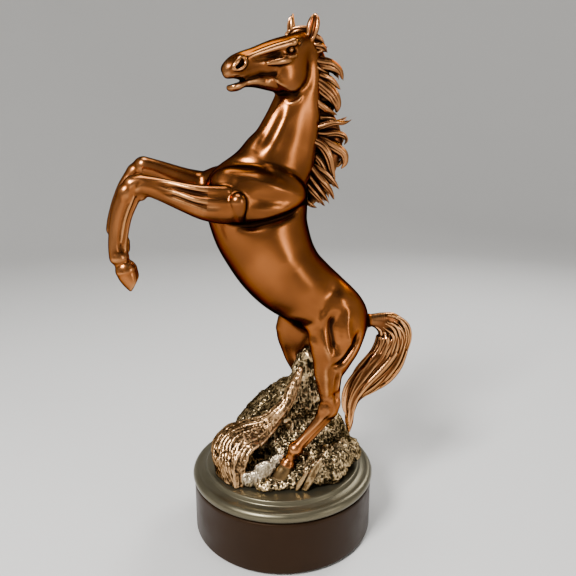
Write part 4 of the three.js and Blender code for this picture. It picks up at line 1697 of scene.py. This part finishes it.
# Where the root's fibres pass, from its top to its foot. Each row runs from its back to its front edge.
FIBRES = [
    ([(11.5, -4, 119), (11.4, -6, 119), (12, -7.4, 119), (13.2, -7.6, 118), (14, -6, 117)], 0.9),
    ([(4.2, -8, 106), (5, -10.4, 105.6), (6.4, -11.6, 104.6), (8, -11.8, 103.4), (9.2, -10, 102.2)], 1.0),
    ([(0, -12, 97.8), (1, -14.2, 97.2), (2.3, -15.4, 96), (3.8, -15.6, 94.4), (4.8, -14, 93)], 1.0),
    (
        [(-6.4, -13, 92), (-5.2, -15.8, 91.2), (-3.5, -17.4, 89.4), (-2, -17.8, 87.4), (-0.8, -16, 85.6)],
        1.05,
    ),
    (
        [
            (-12.5, -13, 86.4),
            (-11.4, -16.4, 85.2),
            (-9.6, -18.8, 82.8),
            (-8, -19.6, 80.4),
            (-6.8, -18.4, 78.2),
        ],
        1.1,
    ),
    ([(-28, -9, 80), (-24, -16, 81), (-19.5, -21.6, 79.6), (-16, -24.4, 77), (-13, -25, 73.6)], 1.3),
    ([(-40, -8, 74), (-38, -18, 75.4), (-32, -25.5, 75.4), (-26, -29.5, 73.8), (-20.6, -30.5, 70.4)], 1.5),
    ([(-48.6, -7, 62), (-46.4, -20, 62.5), (-40, -30.6, 63), (-32.8, -36, 63), (-25.8, -35, 60)], 1.6),
    ([(-48.6, -8, 48), (-44, -23, 48), (-37, -33.5, 48), (-30.4, -39.6, 48), (-26.4, -38, 48)], 1.4),
]

# Splits across the root, each as points along its line.
GASHES = [
    [(-46, -22, 72), (-40, -27, 74), (-34, -30, 77)],
    [(-40, -22, 79), (-34, -26, 82)],
    [(-47, -18, 64), (-42, -28, 64)],
]


def root_core():
    """What fills the root under its fibres."""
    core = []
    for row, _ in FIBRES:
        middle = np.mean(np.array(row), axis=0) + 0.12 * (
            np.array(row[0]) + np.array(row[4]) - 2 * np.array(row[2])
        )
        span = np.linalg.norm(np.array(row[0]) - np.array(row[-1])) / 2
        core.append((*middle, max(span * 0.7, 1.6), max(span * 0.3, 1.3)))
    return Sweep(core, side=(0.55, -0.83, 0))


def root_fibres():
    """Fibres along the rows, each wandering a little from side to side."""
    strands = []
    count = 46
    for k in range(count):
        v = 5.4 * k / (count - 1) - 1.4
        lift = rng.uniform(-0.9, 0.7)
        rows = []
        for i, (row, radius) in enumerate(FIBRES):
            here = v + max(i - 6, 0) * 0.2 * (4 - v) + 0.28 * math.sin(1.3 * i + 2.1 * k) * (k < count - 1)
            here = min(max(here, 0), 3.999)
            a, b = np.array(row[int(here)]), np.array(row[int(here) + 1])
            rise = lift * min(i / 4, 1) * np.array([-0.3, -0.6, 0.5])
            rows.append((*(a + (b - a) * (here - int(here)) + rise), radius * rng.uniform(0.4, 0.95)))
        strands.append(smooth_curve(rows, 12))
    return Strands(strands)


def make_driftwood():
    clay = Clay((-58, -48, 46), (24, 10, 138), 0.46)
    clay.add(root_core())
    clay.add(root_fibres(), blend=0.3)
    edge = [(*row[4], radius * 1.15) for row, radius in FIBRES]
    clay.add(Strands([smooth_curve(edge, 12)]), blend=1.0)
    for gash in GASHES:
        clay.line(gash, 2.0, 1.2)
    rest_on(clay, PIECE_FLOOR)
    obj = object_from("driftwood_root", rough(clay.surface(soften=False), strength=0.28))
    finish_piece(obj, "driftwood_root", "driftwood_root", "ground_bronze", ROOT_BRONZE, IDENTITY)


def make_flat_stone():
    clay = Clay((-30, -48, 46), (8, -14, 76), 0.36)
    for centre, radii, along in (
        ((-20.4, -37.4, 51.6), (7.4, 3, 7.6), (0.75, -0.1, 0.6)),
        ((-12.6, -35.6, 58.4), (8.4, 2.8, 6), (0.8, 0.1, 0.55)),
        ((-4.6, -32.6, 64), (6.6, 2.4, 4), (0.8, 0.3, 0.5)),
    ):
        clay.add(Lump(centre, radii, along=along), blend=1.5)
    for crack in (
        [(-24, -38, 56), (-16, -38, 55)], [(-16, -36, 62), (-10, -35, 58)], [(-10, -34, 66), (-5, -33, 61)]
    ):
        clay.line(crack, 0.9, 0.8)
    rest_on(clay, PIECE_FLOOR)
    obj = object_from("flat_stone", rough(clay.surface(), strength=0.6))
    finish_piece(obj, "flat_stone", "flat_stone", "ground_bronze", STONE_BRONZE, IDENTITY)


def make_shards():
    """Two leaning shards of slate, each with a groove down its spine."""
    blades = {
        "slate_shard_tall": [
            (13.4, -42.6, 48, 1.5, 2.4),
            (17.4, -42, 56, 1.8, 2.9),
            (21.6, -40.8, 63.6, 1.5, 2.2),
            (25.4, -39.6, 70.6, 0.4, 0.4),
        ],
        "slate_shard_short": [
            (8.4, -43.4, 48, 1.0, 1.4),
            (11.2, -43.2, 54, 1.1, 1.7),
            (14.4, -42.8, 59.6, 0.9, 1.2),
            (16.8, -42.4, 63.4, 0.3, 0.3),
        ],
    }
    for name, rows in blades.items():
        block = Clay((2, -50, 46), (32, -34, 76), 0.3)
        block.add(Sweep(rows, side=(0.5, 0.85, 0)))
        spine = [(x - 0.4, y - 1.8, z) for x, y, z, _, _ in rows]
        block.line(spine, 0.8, 1.0, fade=0.1)
        rest_on(block, PIECE_FLOOR)
        obj = object_from(name, rough(block.surface(), strength=0.12))
        finish_piece(obj, name, name, "ground_bronze", HOOF_BRONZE, IDENTITY)


# ---------------------------------------------------------------- base
def lathe(name, profile, sides=256):
    """A turned solid from (radius, height) pairs in millimetres, both ends on the axis."""
    bm = bmesh.new()
    rings = []
    angles = np.linspace(0, 2 * math.pi, sides, endpoint=False)
    for r, z in profile:
        spots = [(0, 0, z)] if r < 1e-6 else [(r * math.cos(a), r * math.sin(a), z) for a in angles]
        rings.append([bm.verts.new(spot) for spot in spots])
    for low, high in zip(rings[:-1], rings[1:]):
        for i in range(sides):
            j = (i + 1) % sides
            corners = [low[i % len(low)], low[j % len(low)], high[j % len(high)], high[i % len(high)]]
            bm.faces.new(list(dict.fromkeys(corners)))
    bmesh.ops.recalc_face_normals(bm, faces=bm.faces)
    mesh = bpy.data.meshes.new(name)
    bm.to_mesh(mesh)
    bm.free()
    mesh.polygons.foreach_set("use_smooth", np.ones(len(mesh.polygons), bool))
    return linked(name, mesh)


def arc(centre, radius, start, end, steps):
    """Points of an arc in a profile, angles in degrees from straight out."""
    return [
        (centre[0] + radius * math.cos(math.radians(a)), centre[1] + radius * math.sin(math.radians(a)))
        for a in np.linspace(start, end, steps)
    ]


DRUM_RADIUS = 62.8
DRUM_TOP = 37.4
DECK_TOP = 48.2
FIXINGS = ("ground_bolt_left", "ground_bolt_right", "bolt_washer_left", "bolt_washer_right")
STUDS = ("left_hoof_stud", "right_hoof_stud")


def drum_profile():
    """The plain drum, with its lower edge rounded."""
    foot = [(0, 1.5), (60.9, 1.5), (61.4, 1.52)] + arc((61.4, 2.9), 1.4, -80, 0, 8)
    wall = [(DRUM_RADIUS, z) for z in (6, 20, 35, 37.2)]
    return foot + wall + [(62.5, DRUM_TOP), (0, DRUM_TOP)]


def moulding_profile():
    """A big bead, a cove behind it and a small step up to the deck."""
    bead = [(0, 37.7), (61.6, 37.7)] + arc((60.3, 41.3), 3.5, -68, 104, 24)
    cove = [(57.6, 44.6), (56.4, 45)] + arc((55.8, 46.2), 1.1, 262, 190, 5)
    deck = arc((53.4, 47.2), 1.0, 10, 90, 7) + [(52, DECK_TOP), (0, DECK_TOP)]
    return bead + cove + deck


def pad_profile():
    return [(0, 0), (59.6, 0)] + arc((59.9, 0.6), 0.6, -80, 80, 7) + [(59.6, 1.2), (0, 1.2)]


def make_base():
    for name, profile, slot, material in (
        ("base_drum", drum_profile(), "black_lacquer", LACQUER),
        ("base_moulding", moulding_profile(), "black_lacquer", RUBBED_LACQUER),
        ("felt_pad", pad_profile(), "felt", FELT),
    ):
        finish_piece(lathe(name, profile), name, name, slot, material, IDENTITY)
    for name in FIXINGS + STUDS:
        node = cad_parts[name]
        node.data.materials.clear()
        node.data.materials.append(STEEL)


# ---------------------------------------------------------------- stage
CAMERA_PLACE = (0, -0.364, 0.261)
CAMERA_PITCH = -13.6
CAMERA_TURN = -0.6


def make_camera():
    lens = bpy.data.cameras.new("camera")
    lens.lens = 35
    lens.sensor_width = 36
    lens.clip_start = 0.01
    camera = linked("camera", lens)
    camera.location = CAMERA_PLACE
    camera.rotation_euler = (math.radians(90 + CAMERA_PITCH), 0, math.radians(CAMERA_TURN))
    bpy.context.scene.camera = camera


def make_floor():
    """A pale floor that rises into a round backdrop."""
    rows = [(0.0, 0.0), (1.2, 0.0)]
    rows += [(1.2 + 0.8 * math.sin(a), 0.8 - 0.8 * math.cos(a)) for a in np.linspace(0.12, math.pi / 2, 12)]
    rows += [(2.0, 2.4)]
    floor = lathe("floor", rows, 96)
    material, tree, shader = nodes_of("floor")
    shader.inputs["Base Color"].default_value = (0.70, 0.69, 0.67, 1)
    shader.inputs["Roughness"].default_value = 0.75
    floor.data.materials.append(material)


def softbox(name, place, size, power, target=(0, 0, 0.19)):
    """A soft rectangular light that faces its target."""
    light = bpy.data.lights.new(name, "AREA")
    light.shape = "RECTANGLE"
    light.size, light.size_y = size
    light.energy = power
    obj = linked(name, light)
    obj.location = place
    obj.rotation_euler = (Vector(target) - Vector(place)).to_track_quat("-Z", "Y").to_euler()


def make_lights():
    world = bpy.data.worlds.new("world")
    world.use_nodes = True
    background = world.node_tree.nodes["Background"]
    background.inputs["Color"].default_value = (0.85, 0.87, 0.9, 1)
    background.inputs["Strength"].default_value = 0.10
    bpy.context.scene.world = world
    softbox("key", (-0.5, -0.75, 0.95), (0.3, 0.3), 26)
    softbox("fill", (1.0, -0.7, 0.4), (0.2, 0.7), 3)
    softbox("rim", (0.55, 0.6, 0.8), (0.4, 0.4), 6)
    softbox("top", (0.0, 0.1, 1.2), (0.5, 0.5), 5)


make_camera()
make_floor()
make_lights()
make_base()
make_trunk()
make_head()
make_foreleg("left", -1, LEFT_ARM, LEFT_SHIN)
make_foreleg("right", 1, RIGHT_ARM, RIGHT_SHIN)
make_hind_leg("left", -1)
make_hind_leg("right", 1)
make_hair()
make_hill()
make_tussock()
make_driftwood()
make_flat_stone()
make_shards()
